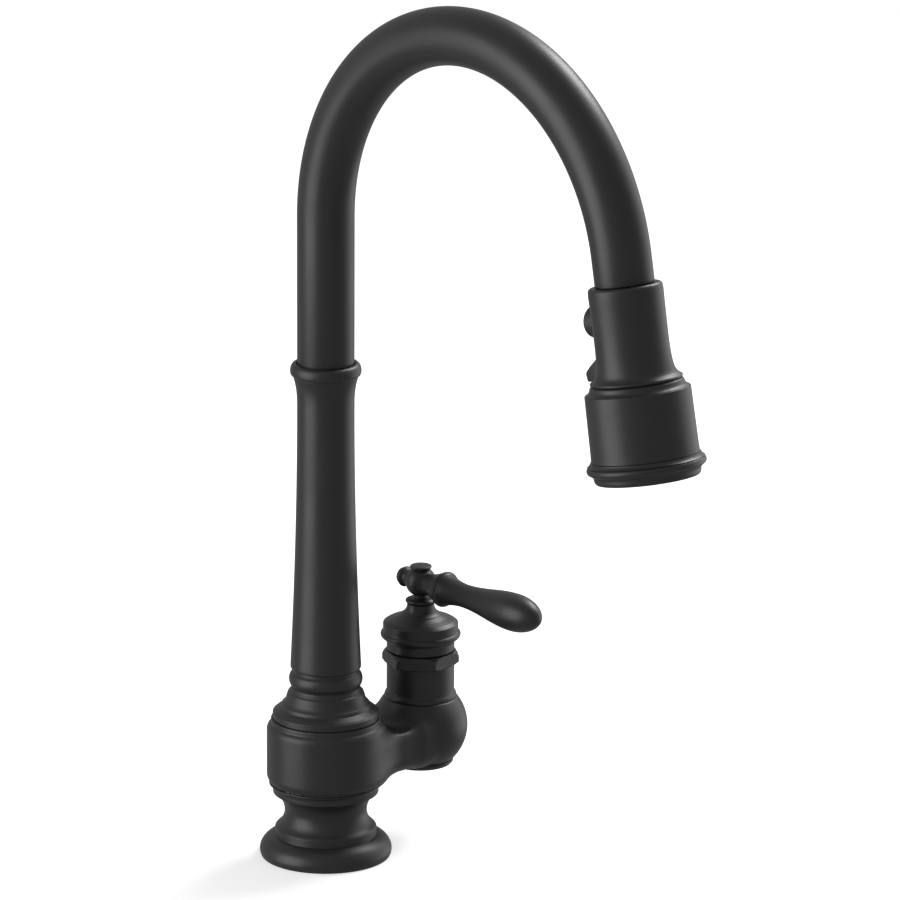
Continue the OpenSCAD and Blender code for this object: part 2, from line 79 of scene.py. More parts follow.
MM = 0.001
JOINTS = {joint["name"]: joint for joint in frame["joints"]}
PIVOT = Vector(JOINTS["lever_lift"]["pos_m"])
MOUTH = Vector(JOINTS["head_spin"]["pos_m"])
HEAD_AXIS = Vector(JOINTS["head_spin"]["axis"])
HEAD_TURN = math.atan2(-HEAD_AXIS.y, HEAD_AXIS.z)

# Places: each piece is drawn around its own axis, in millimetres, and put in the frame
ON_COLUMN = Matrix.Identity(4)
ON_VALVE = Matrix.Translation((PIVOT.x, 0, 0))
ON_HEAD = Matrix.Translation(MOUTH) @ Matrix.Rotation(HEAD_TURN, 4, "X")
ON_LEVER = Matrix.Translation(PIVOT) @ Matrix.Rotation(math.radians(90), 4, "X")
ON_HUB = Matrix.Translation(PIVOT)
BUTTON_SIDE = Matrix.Rotation(math.radians(90), 4, "X")  # turns +z to the head's -y side

BUTTON_Z = 17.8  # from the mouth to the button's centre, along the head's axis, in millimetres
SCREW_X = 21.0  # from the shank's axis to each clamping screw, in millimetres
STRAIGHT_END = 0.0132  # straight length of the tube between its arc and the mouth, in metres


# ------------------------------------------------------------------ settings

class FaucetShape(bpy.types.PropertyGroup):
    """Sizes of the visible pieces that a user would change"""

    segments: IntProperty(
        name="Segments", description="Sides of each turned piece", default=144, min=48, max=256)
    cast_step: FloatProperty(
        name="Casting step", description="Grid step of the cast pieces",
        default=0.0006, unit="LENGTH")
    neck_fillet: FloatProperty(
        name="Neck fillet", description="Size of the fillet between the round body and the neck",
        default=0.010, unit="LENGTH")
    rim_bevel: FloatProperty(
        name="Rim bevel", description="Bevel on the rims of the spout tube",
        default=0.0003, unit="LENGTH")
    nozzle_height: FloatProperty(
        name="Nozzle height", description="How far a spray nozzle stands out of the plate",
        default=0.0009, unit="LENGTH")
    screen_pitch: FloatProperty(
        name="Screen pitch", description="Distance between the holes of the aerator's screen",
        default=0.0017, unit="LENGTH")
    thread_pitch: FloatProperty(
        name="Thread pitch", description="Pitch of the shank's thread", default=0.0015, unit="LENGTH")


class FaucetFinish(bpy.types.PropertyGroup):
    """Colours and roughness of the finishes"""

    coat: FloatVectorProperty(
        name="Coat", description="Matte black coat", subtype="COLOR", size=3,
        default=(0.0152, 0.0143, 0.0147), min=0, max=1)
    coat_roughness: FloatProperty(
        name="Coat roughness", description="Roughness of the coat", default=0.44, min=0, max=1)
    moulding: FloatVectorProperty(
        name="Black moulding", description="Moulded black plastic", subtype="COLOR", size=3,
        default=(0.020, 0.020, 0.021), min=0, max=1)
    rubber: FloatVectorProperty(
        name="Rubber", description="Seals, nozzles and hose", subtype="COLOR", size=3,
        default=(0.022, 0.022, 0.023), min=0, max=1)
    brass: FloatVectorProperty(
        name="Brass", description="Machined brass", subtype="COLOR", size=3,
        default=(0.71, 0.51, 0.23), min=0, max=1)
    steel: FloatVectorProperty(
        name="Steel", description="Bright steel", subtype="COLOR", size=3,
        default=(0.60, 0.61, 0.62), min=0, max=1)
    white: FloatVectorProperty(
        name="White moulding", description="Bearing and cartridge plastic", subtype="COLOR", size=3,
        default=(0.78, 0.78, 0.75), min=0, max=1)


class FaucetStage(bpy.types.PropertyGroup):
    """Camera, floor and light"""

    lens: FloatProperty(
        name="Lens", description="Focal length on a 36 mm sensor", default=274.03, unit="CAMERA")
    distance: FloatProperty(
        name="Distance", description="Camera to the column's axis", default=3.3927, unit="LENGTH")
    aim_height: FloatProperty(
        name="Aim height", description="Height on the column that the camera is levelled at",
        default=0.2108, unit="LENGTH")
    azimuth: FloatProperty(
        name="Azimuth", description="Direction that the camera looks from",
        default=math.radians(-40.82), subtype="ANGLE")
    elevation: FloatProperty(
        name="Elevation", description="Height of the camera above the horizon",
        default=math.radians(15.9), subtype="ANGLE")
    pan: FloatProperty(
        name="Pan", description="Turn of the camera to its right of the column",
        default=math.radians(1.0387), subtype="ANGLE")
    floor: FloatVectorProperty(
        name="Floor", description="Colour of the floor", subtype="COLOR", size=3,
        default=(0.92, 0.92, 0.92), min=0, max=1)
    surround: FloatProperty(
        name="Surround", description="Strength of the white surround", default=0.42, min=0)
    floor_glow: FloatProperty(
        name="Floor glow", description="Strength of the floor's own light", default=0.54, min=0)
    left_power: FloatProperty(
        name="Left softbox", description="Power of the softbox on the camera's left",
        default=26.0, min=0, unit="POWER")
    right_power: FloatProperty(
        name="Right softbox", description="Power of the softbox on the camera's right",
        default=9.0, min=0, unit="POWER")
    upper_power: FloatProperty(
        name="Upper softbox", description="Power of the softbox that throws the shadow on the floor",
        default=18.0, min=0, unit="POWER")


# ------------------------------------------------------------------ mesh helpers

def span(node, place=ON_COLUMN):
    """Lowest and highest z and the largest radius of a CAD node about a piece's axis, in millimetres"""
    to_axis = place.inverted()
    points = np.array([to_axis @ v.co for v in frame["nodes"][node].data.vertices]) / MM
    return points[:, 2].min(), points[:, 2].max(), np.hypot(points[:, 0], points[:, 1]).max()


def arc(centre, radius, start, end, count=10, squash=1.0):
    """Points of an arc in an outline, from angle start to end in degrees; squash scales its height"""
    angles = np.radians(np.linspace(start, end, count + 1))
    return [(centre[0] + radius * math.cos(a), centre[1] + radius * squash * math.sin(a)) for a in angles]


def rounded(corners, closed=True, steps=6):
    """Outline through corners (r, z) or (r, z, fillet), each fillet drawn as an arc"""
    outline = []
    count = len(corners)
    for i, corner in enumerate(corners):
        here = Vector(corner[:2])
        ends = not closed and i in (0, count - 1)
        if len(corner) == 2 or ends:
            outline.append(here)
            continue
        back = Vector(corners[i - 1][:2]) - here
        ahead = Vector(corners[(i + 1) % count][:2]) - here
        half = back.angle(ahead) / 2
        reach = min(corner[2] / math.tan(half), 0.48 * back.length, 0.48 * ahead.length)
        first, last = here + back.normalized() * reach, here + ahead.normalized() * reach
        for k in range(steps + 1):
            t = k / steps
            outline.append(first * (1 - t) ** 2 + here * 2 * t * (1 - t) + last * t * t)
    return with_guards(outline, closed)


def with_guards(outline, closed, reach=0.2, long_run=1.4):
    """Adds a point near both ends of each long straight run, so that its shading stays flat"""
    guarded = []
    count = len(outline)
    for i, here in enumerate(outline):
        here = Vector(here)
        guarded.append(here)
        if i == count - 1 and not closed:
            break
        there = Vector(outline[(i + 1) % count])
        step = there - here
        if step.length > long_run:
            guarded += [here + step.normalized() * reach, there - step.normalized() * reach]
    return guarded


def mesh_object(name, points, faces, place=ON_COLUMN):
    """Object from points in millimetres, put in the frame with its own origin left at the frame's"""
    mesh = bpy.data.meshes.new(name)
    mesh.from_pydata([place @ (Vector(p) * MM) for p in points], [], faces)
    mesh.validate()
    obj = bpy.data.objects.new(name, mesh)
    bpy.context.scene.collection.objects.link(obj)
    return obj


def dress(obj, sharp=38):
    """Welds doubles, turns faces outwards, smooths them and keeps edges above the sharp angle"""
    bm = bmesh.new()
    bm.from_mesh(obj.data)
    bmesh.ops.remove_doubles(bm, verts=bm.verts, dist=1e-7)
    bmesh.ops.recalc_face_normals(bm, faces=bm.faces)
    limit = math.radians(sharp)
    for face in bm.faces:
        face.smooth = True
    for edge in bm.edges:
        edge.smooth = not (len(edge.link_faces) == 2 and edge.calc_face_angle(0) > limit)
    bm.to_mesh(obj.data)
    bm.free()
    return obj


def lathe(name, outline, place=ON_COLUMN, segments=None, closed=True, limit=None):
    """Turned piece: the outline (r, z) spun about z. limit(angle) caps the radius, as flats on a nut do"""
    segments = segments or bpy.context.scene.faucet_shape.segments
    points, rings = [], []
    for r, z in outline:
        if r < 1e-6:
            rings.append([len(points)] * segments)
            points.append((0, 0, z))
            continue
        rings.append(list(range(len(points), len(points) + segments)))
        for k in range(segments):
            a = 2 * math.pi * k / segments
            reach = min(r, limit(a)) if limit else r
            points.append((reach * math.cos(a), reach * math.sin(a), z))
    faces = []
    pairs = list(zip(rings, rings[1:])) + ([(rings[-1], rings[0])] if closed else [])
    for low, high in pairs:
        for k in range(segments):
            n = (k + 1) % segments
            face = list(dict.fromkeys([low[k], low[n], high[n], high[k]]))
            if len(face) > 2:
                faces.append(face)
    return dress(mesh_object(name, points, faces, place))


def capped(name, outline, place=ON_COLUMN, segments=None):
    """Turned solid piece whose outline starts and ends on the axis"""
    return lathe(name, outline, place, segments, closed=False)


def outline_field(outline, r, z):
    """Signed distance from points (r, z) to a closed outline, below zero inside"""
    nearest = np.full(r.shape, 1e9)
    inside = np.zeros(r.shape, bool)
    for a, b in zip(outline, list(outline[1:]) + [outline[0]]):
        dr, dz = b[0] - a[0], b[1] - a[1]
        if dr * dr + dz * dz < 1e-12:
            continue
        t = np.clip(((r - a[0]) * dr + (z - a[1]) * dz) / (dr * dr + dz * dz), 0, 1)
        nearest = np.minimum(nearest, np.hypot(r - a[0] - t * dr, z - a[1] - t * dz))
        if dz:
            crosses = ((a[1] > z) != (b[1] > z)) & (r < a[0] + (z - a[1]) * dr / dz)
            inside ^= crosses
    return np.where(inside, -nearest, nearest)


def tube_field(p, axis, centre, radius, low, high):
    """Signed distance to a round bar along one axis of the grid"""
    across = [i for i in range(3) if i != axis]
    r = np.hypot(p[..., across[0]] - centre[0], p[..., across[1]] - centre[1])
    along = p[..., axis]
    return np.maximum(r - radius, np.maximum(low - along, along - high))


def melt(a, b, size):
    """Union of two fields with a fillet"""
    h = np.clip(0.5 + 0.5 * (b - a) / size, 0, 1)
    return b * (1 - h) + a * h - size * h * (1 - h)


def carve(a, b, size=0.5):
    """Field a with field b cut out of it, its rim slightly rounded"""
    return -melt(-a, b, size)


def cast(name, field, low, high, step, place=ON_COLUMN):
    """Closed mesh where field(points) is zero: one vertex in each crossed cell, drawn onto the surface"""
    axes = [np.arange(low[i], high[i] + step, step) for i in range(3)]
    grid = np.stack(np.meshgrid(*axes, indexing="ij"), -1)
    value = field(grid)
    solid = value < 0
    corners = [(i, j, k) for i in (0, 1) for j in (0, 1) for k in (0, 1)]
    cells = tuple(n - 1 for n in solid.shape)

    def corner(data, c):
        return data[c[0]:c[0] + cells[0], c[1]:c[1] + cells[1], c[2]:c[2] + cells[2]]

    filled = sum(corner(solid, c).astype(np.int8) for c in corners)
    crossed = (filled > 0) & (filled < 8)
    number = np.full(cells, -1)
    number[crossed] = np.arange(crossed.sum())
    where = np.argwhere(crossed)
    total, hits = np.zeros((len(where), 3)), np.zeros(len(where))
    for c in corners:
        for axis in range(3):
            if c[axis]:
                continue
            d = tuple(c[i] + (i == axis) for i in range(3))
            va, vb = corner(value, c)[crossed], corner(value, d)[crossed]
            cut = (va < 0) != (vb < 0)
            t = va[cut] / (va[cut] - vb[cut])
            point = where[cut] + np.array(c, float)
            point[:, axis] += t
            total[cut] += point
            hits[cut] += 1
    points = np.array(low) + step * total / hits[:, None]
    for _ in range(3):
        points = onto_surface(field, points, step)
    faces = []
    for axis in range(3):
        a = np.take(solid, range(cells[axis]), axis)
        b = np.take(solid, range(1, cells[axis] + 1), axis)
        u, v = (axis + 1) % 3, (axis + 2) % 3
        for i in np.argwhere(a != b):
            if i[u] == 0 or i[v] == 0 or i[u] >= cells[u] or i[v] >= cells[v]:
                continue
            quad = []
            for du, dv in ((1, 1), (0, 1), (0, 0), (1, 0)):
                cell = i.copy()
                cell[u] -= du
                cell[v] -= dv
                quad.append(int(number[tuple(cell)]))
            faces.append(quad if a[tuple(i)] else quad[::-1])
    return dress(mesh_object(name, points.tolist(), faces, place), sharp=50)


def onto_surface(field, points, step):
    """Moves points along the field's slope towards its zero surface"""
    small = step * 0.1
    here = field(points)
    slope = np.stack([(field(points + small * e) - here) / small for e in np.eye(3)], -1)
    size = np.maximum((slope ** 2).sum(-1), 0.25)
    move = -here[:, None] * slope / size[:, None]
    length = np.linalg.norm(move, axis=1, keepdims=True)
    return points + move * np.minimum(1, 0.5 * step / np.maximum(length, 1e-9))


def apply_modifiers(obj):
    """Turns an object with modifiers into a plain mesh"""
    evaluated = obj.evaluated_get(bpy.context.evaluated_depsgraph_get())
    mesh = bpy.data.meshes.new_from_object(evaluated)
    obj.modifiers.clear()
    obj.data = mesh
    return obj


def finish_piece(obj, body, finish, *nodes):
    """Gives a piece its finish, its CAD body and the CAD nodes that it stands for"""
    obj.data.materials.clear()
    obj.data.materials.append(material_named(finish))
    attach(obj, body)
    if nodes:
        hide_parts(*nodes)


# ------------------------------------------------------------------ node helpers

def add_node(tree, kind, *links, **values):
    """Adds a node. links are (input, output socket); values set attributes, or inputs in a dict"""
    node = tree.nodes.new(kind)
    for key, value in values.items():
        if key != "inputs":
            setattr(node, key, value)
    for key, value in values.get("inputs", {}).items():
        node.inputs[key].default_value = value
    for key, socket in links:
        tree.links.new(socket, node.inputs[key])
    return node


def new_group(name, kind, inputs, outputs):
    """Node group with named sockets; returns it with its input and output nodes"""
    group = bpy.data.node_groups.new(name, kind)
    for title, socket, default in inputs:
        item = group.interface.new_socket(title, in_out="INPUT", socket_type=socket)
        if default is not None:
            item.default_value = default
    for title, socket in outputs:
        group.interface.new_socket(title, in_out="OUTPUT", socket_type=socket)
    return group, group.nodes.new("NodeGroupInput"), group.nodes.new("NodeGroupOutput")


def surface_group():
    """Slow drift of colour and roughness, and a fine grain"""
    group, inn, out = new_group(
        "drift and grain", "ShaderNodeTree",
        [("Dark", "NodeSocketColor", None), ("Light", "NodeSocketColor", None),
         ("Smooth", "NodeSocketFloat", 0.4), ("Rough", "NodeSocketFloat", 0.5),
         ("Drift Scale", "NodeSocketFloat", 45.0), ("Grain Scale", "NodeSocketFloat", 3000.0)],
        [("Color", "NodeSocketColor"), ("Roughness", "NodeSocketFloat"), ("Height", "NodeSocketFloat")])
    place = add_node(group, "ShaderNodeTexCoord")
    drift = add_node(group, "ShaderNodeTexNoise", ("Vector", place.outputs["Object"]),
                     ("Scale", inn.outputs["Drift Scale"]), inputs={"Detail": 4.0, "Roughness": 0.55})
    grain = add_node(group, "ShaderNodeTexNoise", ("Vector", place.outputs["Object"]),
                     ("Scale", inn.outputs["Grain Scale"]), inputs={"Detail": 2.0})
    spread = add_node(group, "ShaderNodeMapRange", ("Value", drift.outputs["Fac"]),
                      inputs={"From Min": 0.3, "From Max": 0.7})
    colour = add_node(group, "ShaderNodeMix", (0, spread.outputs[0]), (6, inn.outputs["Dark"]),
                      (7, inn.outputs["Light"]), data_type="RGBA")
    speckle = add_node(group, "ShaderNodeMath", (0, spread.outputs[0]), (1, grain.outputs["Fac"]),
                       operation="MULTIPLY")
    rough = add_node(group, "ShaderNodeMapRange", ("Value", speckle.outputs[0]),
                     ("To Min", inn.outputs["Smooth"]), ("To Max", inn.outputs["Rough"]),
                     inputs={"From Min": 0.1, "From Max": 0.6})
    group.links.new(colour.outputs[2], out.inputs["Color"])
    group.links.new(rough.outputs[0], out.inputs["Roughness"])
    group.links.new(grain.outputs["Fac"], out.inputs["Height"])
    return group


def tool_mark_group():
    """Fine rings that a lathe leaves around z"""
    group, inn, out = new_group(
        "tool marks", "ShaderNodeTree",
        [("Scale", "NodeSocketFloat", 2500.0)], [("Height", "NodeSocketFloat")])
    place = add_node(group, "ShaderNodeTexCoord")
    split = add_node(group, "ShaderNodeSeparateXYZ", ("Vector", place.outputs["Object"]))
    along = add_node(group, "ShaderNodeCombineXYZ", ("Z", split.outputs["Z"]))
    marks = add_node(group, "ShaderNodeTexNoise", ("Vector", along.outputs[0]),
                     ("Scale", inn.outputs["Scale"]), inputs={"Detail": 3.0})
    group.links.new(marks.outputs["Fac"], out.inputs["Height"])
    return group


def braid_group():
    """Two sets of strands crossing over a hose whose axis is z"""
    group, inn, out = new_group(
        "braid", "ShaderNodeTree",
        [("Vector", "NodeSocketVector", None), ("Strands", "NodeSocketFloat", 12.0),
         ("Pitch", "NodeSocketFloat", 380.0)],
        [("Weave", "NodeSocketFloat"), ("Height", "NodeSocketFloat")])
    split = add_node(group, "ShaderNodeSeparateXYZ", ("Vector", inn.outputs["Vector"]))
    angle = add_node(group, "ShaderNodeMath", (0, split.outputs["Y"]), (1, split.outputs["X"]),
                     operation="ARCTAN2")
    turn = add_node(group, "ShaderNodeMath", (0, angle.outputs[0]), (1, inn.outputs["Strands"]),
                    operation="MULTIPLY")
    climb = add_node(group, "ShaderNodeMath", (0, split.outputs["Z"]), (1, inn.outputs["Pitch"]),
                     operation="MULTIPLY")
    waves = []
    for operation in ("ADD", "SUBTRACT"):
        phase = add_node(group, "ShaderNodeMath", (0, turn.outputs[0]), (1, climb.outputs[0]),
                         operation=operation)
        waves.append(add_node(group, "ShaderNodeMath", (0, phase.outputs[0]), operation="SINE"))
    weave = add_node(group, "ShaderNodeMath", (0, waves[0].outputs[0]), (1, waves[1].outputs[0]),
                     operation="MULTIPLY")
    mask = add_node(group, "ShaderNodeMapRange", ("Value", weave.outputs[0]),
                    inputs={"From Min": -0.8, "From Max": 0.8})
    high = add_node(group, "ShaderNodeMath", (0, waves[0].outputs[0]), (1, waves[1].outputs[0]),
                    operation="MAXIMUM")
    group.links.new(mask.outputs[0], out.inputs["Weave"])
    group.links.new(high.outputs[0], out.inputs["Height"])
    return group


# ------------------------------------------------------------------ materials

def shaded(colour, factor):
    """Colour made lighter or darker, with full alpha"""
    return tuple(min(1.0, c * factor) for c in colour) + (1.0,)


def surface_material(name, colour, roughness, spread=0.05, drift=45.0, grain=3000.0,
                     depth=0.00001, contrast=0.08, metallic=0.0, specular=0.5, marks=0.0):
    """Material with drift, grain and, on machined metal, tool marks"""
    material = bpy.data.materials.new(name)
    material.use_nodes = True
    tree = material.node_tree
    shader = tree.nodes["Principled BSDF"]
    shader.inputs["Metallic"].default_value = metallic
    shader.inputs["Specular IOR Level"].default_value = specular
    group = add_node(tree, "ShaderNodeGroup", node_tree=bpy.data.node_groups["drift and grain"])
    group.inputs["Dark"].default_value = shaded(colour, 1 - contrast)
    group.inputs["Light"].default_value = shaded(colour, 1 + contrast)
    group.inputs["Smooth"].default_value = roughness - spread
    group.inputs["Rough"].default_value = roughness + spread
    group.inputs["Drift Scale"].default_value = drift
    group.inputs["Grain Scale"].default_value = grain
    height = group.outputs["Height"]
    if marks:
        rings = add_node(tree, "ShaderNodeGroup", node_tree=bpy.data.node_groups["tool marks"])
        mixed = add_node(tree, "ShaderNodeMath", (0, rings.outputs["Height"]), (2, height),
                         operation="MULTIPLY_ADD", inputs={1: marks})
        height = mixed.outputs[0]
    bump = add_node(tree, "ShaderNodeBump", ("Height", height), inputs={"Distance": depth})
    tree.links.new(group.outputs["Color"], shader.inputs["Base Color"])
    tree.links.new(group.outputs["Roughness"], shader.inputs["Roughness"])
    tree.links.new(bump.outputs["Normal"], shader.inputs["Normal"])
    return material


def hose_material(colour):
    """Braided sleeve, laid out around the spray head's axis"""
    material = surface_material("braided_hose", colour, 0.5, contrast=0.2)
    tree = material.node_tree
    shader = tree.nodes["Principled BSDF"]
    grain = next(n for n in tree.nodes if n.bl_idname == "ShaderNodeGroup")
    coord = add_node(tree, "ShaderNodeTexCoord")
    place = add_node(tree, "ShaderNodeMapping", ("Vector", coord.outputs["Object"]), vector_type="TEXTURE")
    place.inputs["Location"].default_value = MOUTH
    place.inputs["Rotation"].default_value = (HEAD_TURN, 0, 0)
    braid = add_node(tree, "ShaderNodeGroup", ("Vector", place.outputs[0]),
                     node_tree=bpy.data.node_groups["braid"])
    mix = add_node(tree, "ShaderNodeMix", (0, braid.outputs["Weave"]), (6, grain.outputs["Color"]),
                   data_type="RGBA", inputs={7: (0.085, 0.085, 0.088, 1.0)})
    bump = add_node(tree, "ShaderNodeBump", ("Height", braid.outputs["Height"]),
                    inputs={"Distance": 0.00025})
    tree.links.new(mix.outputs[2], shader.inputs["Base Color"])
    tree.links.new(bump.outputs["Normal"], shader.inputs["Normal"])
    return material


def material_named(name):
    """Material that the finishes operator made"""
    return bpy.data.materials[name]


class FAUCET_OT_finishes(bpy.types.Operator):
    """Makes every material of the faucet"""

    bl_idname = "faucet.finishes"
    bl_label = "Finishes"

    def execute(self, context):
        finish = context.scene.faucet_finish
        surface_group()
        tool_mark_group()
        braid_group()
        surface_material("matte_black_coat", finish.coat, finish.coat_roughness, spread=0.035,
                         drift=38.0, grain=4200.0, depth=0.000004, contrast=0.07, specular=0.42)
        surface_material("black_moulding", finish.moulding, 0.40, grain=5200.0, depth=0.00001)
        surface_material("soft_rubber", finish.rubber, 0.66, grain=2600.0, depth=0.000012, contrast=0.12)
        surface_material("machined_brass", finish.brass, 0.28, grain=1800.0, depth=0.000006,
                         contrast=0.10, metallic=1.0, marks=2.0)
        surface_material("bright_steel", finish.steel, 0.24, grain=2400.0, depth=0.000004,
                         contrast=0.06, metallic=1.0, marks=2.0)
        surface_material("magnet_nickel", shaded(finish.steel, 0.75)[:3], 0.2, grain=900.0,
                         depth=0.000002, metallic=1.0)
        surface_material("white_moulding", finish.white, 0.42, grain=2200.0, depth=0.000008, contrast=0.03)
        surface_material("polished_ceramic", (0.84, 0.82, 0.76), 0.12, spread=0.03, grain=900.0,
                         depth=0.000001, contrast=0.02)
        hose_material(finish.rubber)
        return {"FINISHED"}


# ------------------------------------------------------------------ stage

def area_light(name, toward, distance, height, size, power):
    """Softbox that stands in a direction from the column and faces the faucet's middle"""
    light = bpy.data.lights.new(name, "AREA")
    light.shape = "RECTANGLE"
    light.size, light.size_y = size
    light.energy = power
    obj = bpy.data.objects.new(name, light)
    bpy.context.scene.collection.objects.link(obj)
    obj.location = Vector((toward[0] * distance, toward[1] * distance, height))
    middle = Vector((0, -0.08, 0.22))
    obj.rotation_mode = "QUATERNION"
    obj.rotation_quaternion = (middle - obj.location).to_track_quat("-Z", "Y")
    return obj


class FAUCET_OT_stage(bpy.types.Operator):
    """Camera, white floor, surround and softboxes"""

    bl_idname = "faucet.stage"
    bl_label = "Stage"

    def execute(self, context):
        stage = context.scene.faucet_stage
        for obj in list(bpy.data.objects):
            if obj.type in {"LIGHT", "CAMERA"} or obj.name == "Cube":
                bpy.data.objects.remove(obj)
        self.camera(context.scene, stage)
        floor = self.floor(stage)
        self.surround(context.scene, stage)
        left = area_light("left softbox", toward=(-0.96, 0.27), distance=1.5, height=0.35,
                          size=(1.25, 1.7), power=stage.left_power)
        right = area_light("right softbox", toward=(0.97, -0.25), distance=1.5, height=0.35,
                           size=(1.4, 1.7), power=stage.right_power)
        area_light("upper softbox", toward=(1.0, 0.08), distance=1.2, height=1.3,
                   size=(0.7, 0.7), power=stage.upper_power)
        self.spare(floor, left, right)
        return {"FINISHED"}

    def camera(self, scene, stage):
        """Levelled at the column, then turned to its right by the pan"""
        data = bpy.data.cameras.new("camera")
        data.lens = stage.lens
        data.clip_end = 100
        camera = bpy.data.objects.new("camera", data)
        scene.collection.objects.link(camera)
        scene.camera = camera
        back = Vector((math.sin(stage.azimuth) * math.cos(stage.elevation),
                       -math.cos(stage.azimuth) * math.cos(stage.elevation), math.sin(stage.elevation)))
        camera.location = Vector((0, 0, stage.aim_height)) + back * stage.distance
        level = (-back).to_track_quat("-Z", "Y")
        camera.rotation_mode = "QUATERNION"
        camera.rotation_quaternion = level @ Quaternion((0, 1, 0), -stage.pan)

    def floor(self, stage):
        """White ground at the deck's height"""
        half = 40.0
        corners = [(-half, -half, 0), (half, -half, 0), (half, half, 0), (-half, half, 0)]
        floor = mesh_object("floor", [Vector(c) / MM for c in corners], [(0, 1, 2, 3)])
        material = bpy.data.materials.new("white_floor")
        material.use_nodes = True
        shader = material.node_tree.nodes["Principled BSDF"]
        shader.inputs["Base Color"].default_value = tuple(stage.floor) + (1.0,)
        shader.inputs["Roughness"].default_value = 0.9
        shader.inputs["Emission Color"].default_value = (1, 1, 1, 1)
        shader.inputs["Emission Strength"].default_value = stage.floor_glow
        floor.data.materials.append(material)
        # the floor is only a backdrop: it throws no light up at the faucet
        floor.visible_diffuse = False
        floor.visible_glossy = False
        return floor

    def spare(self, floor, *lights):
        """Keeps the side softboxes off the floor, so that only the upper one throws a shadow on it"""
        spared = bpy.data.collections.new("not lit from the sides")
        spared.objects.link(floor)
        spared.collection_objects[0].light_linking.link_state = "EXCLUDE"
        for light in lights:
            light.light_linking.receiver_collection = spared

    def surround(self, scene, stage):
        """Even white light from all round"""
        world = bpy.data.worlds.new("white surround")
        world.use_nodes = True
        shader = world.node_tree.nodes["Background"]
        shader.inputs["Color"].default_value = (1, 1, 1, 1)
        shader.inputs["Strength"].default_value = stage.surround
        scene.world = world
        scene.view_settings.view_transform = "Standard"


# ------------------------------------------------------------------ pedestal, body and column

class FAUCET_OT_pedestal(bpy.types.Operator):
    """Turned foot with its bead, step, waist and upper ring"""

    bl_idname = "faucet.pedestal"
    bl_label = "Pedestal"

    def execute(self, context):
        bottom, top, foot_r = span("pedestal")
        waist_r, waist_z = 20.67, 23.4
        low_r, high_r = 9.6, 11.8
        shank_r = span("mounting_shank")[2] + 0.3
        outline = rounded(
            [(27.2, bottom, 0.3), (foot_r - 0.75, bottom, 0.3)]
            + arc((foot_r - 13, 3), 13, -15, 56, 24, squash=9 / 13)
            + [(26.9, 10.75, 0.25), (25.5, 11.0, 0.25), (25.45, 14.7, 0.5)]
            + arc((waist_r + low_r, waist_z), low_r, 234, 180, 24)
            + arc((waist_r + high_r, waist_z), high_r, 180, 134, 24)[1:]
            + [(25.9, 33.0, 0.25), (26.5, 33.1, 0.3), (26.6, 34.5, 0.3)]
            + arc((29.6, 35.0), 3.0, 175, 112, 8)
            + [(28.4, 37.85, 0.2), (28.4, top, 0.15), (shank_r, top, 0.2), (shank_r, 5, 0.2), (27.2, 5, 0.3)])
        foot = lathe("pedestal_turned", outline)
        finish_piece(foot, "base", "matte_black_coat", "pedestal")
        return {"FINISHED"}


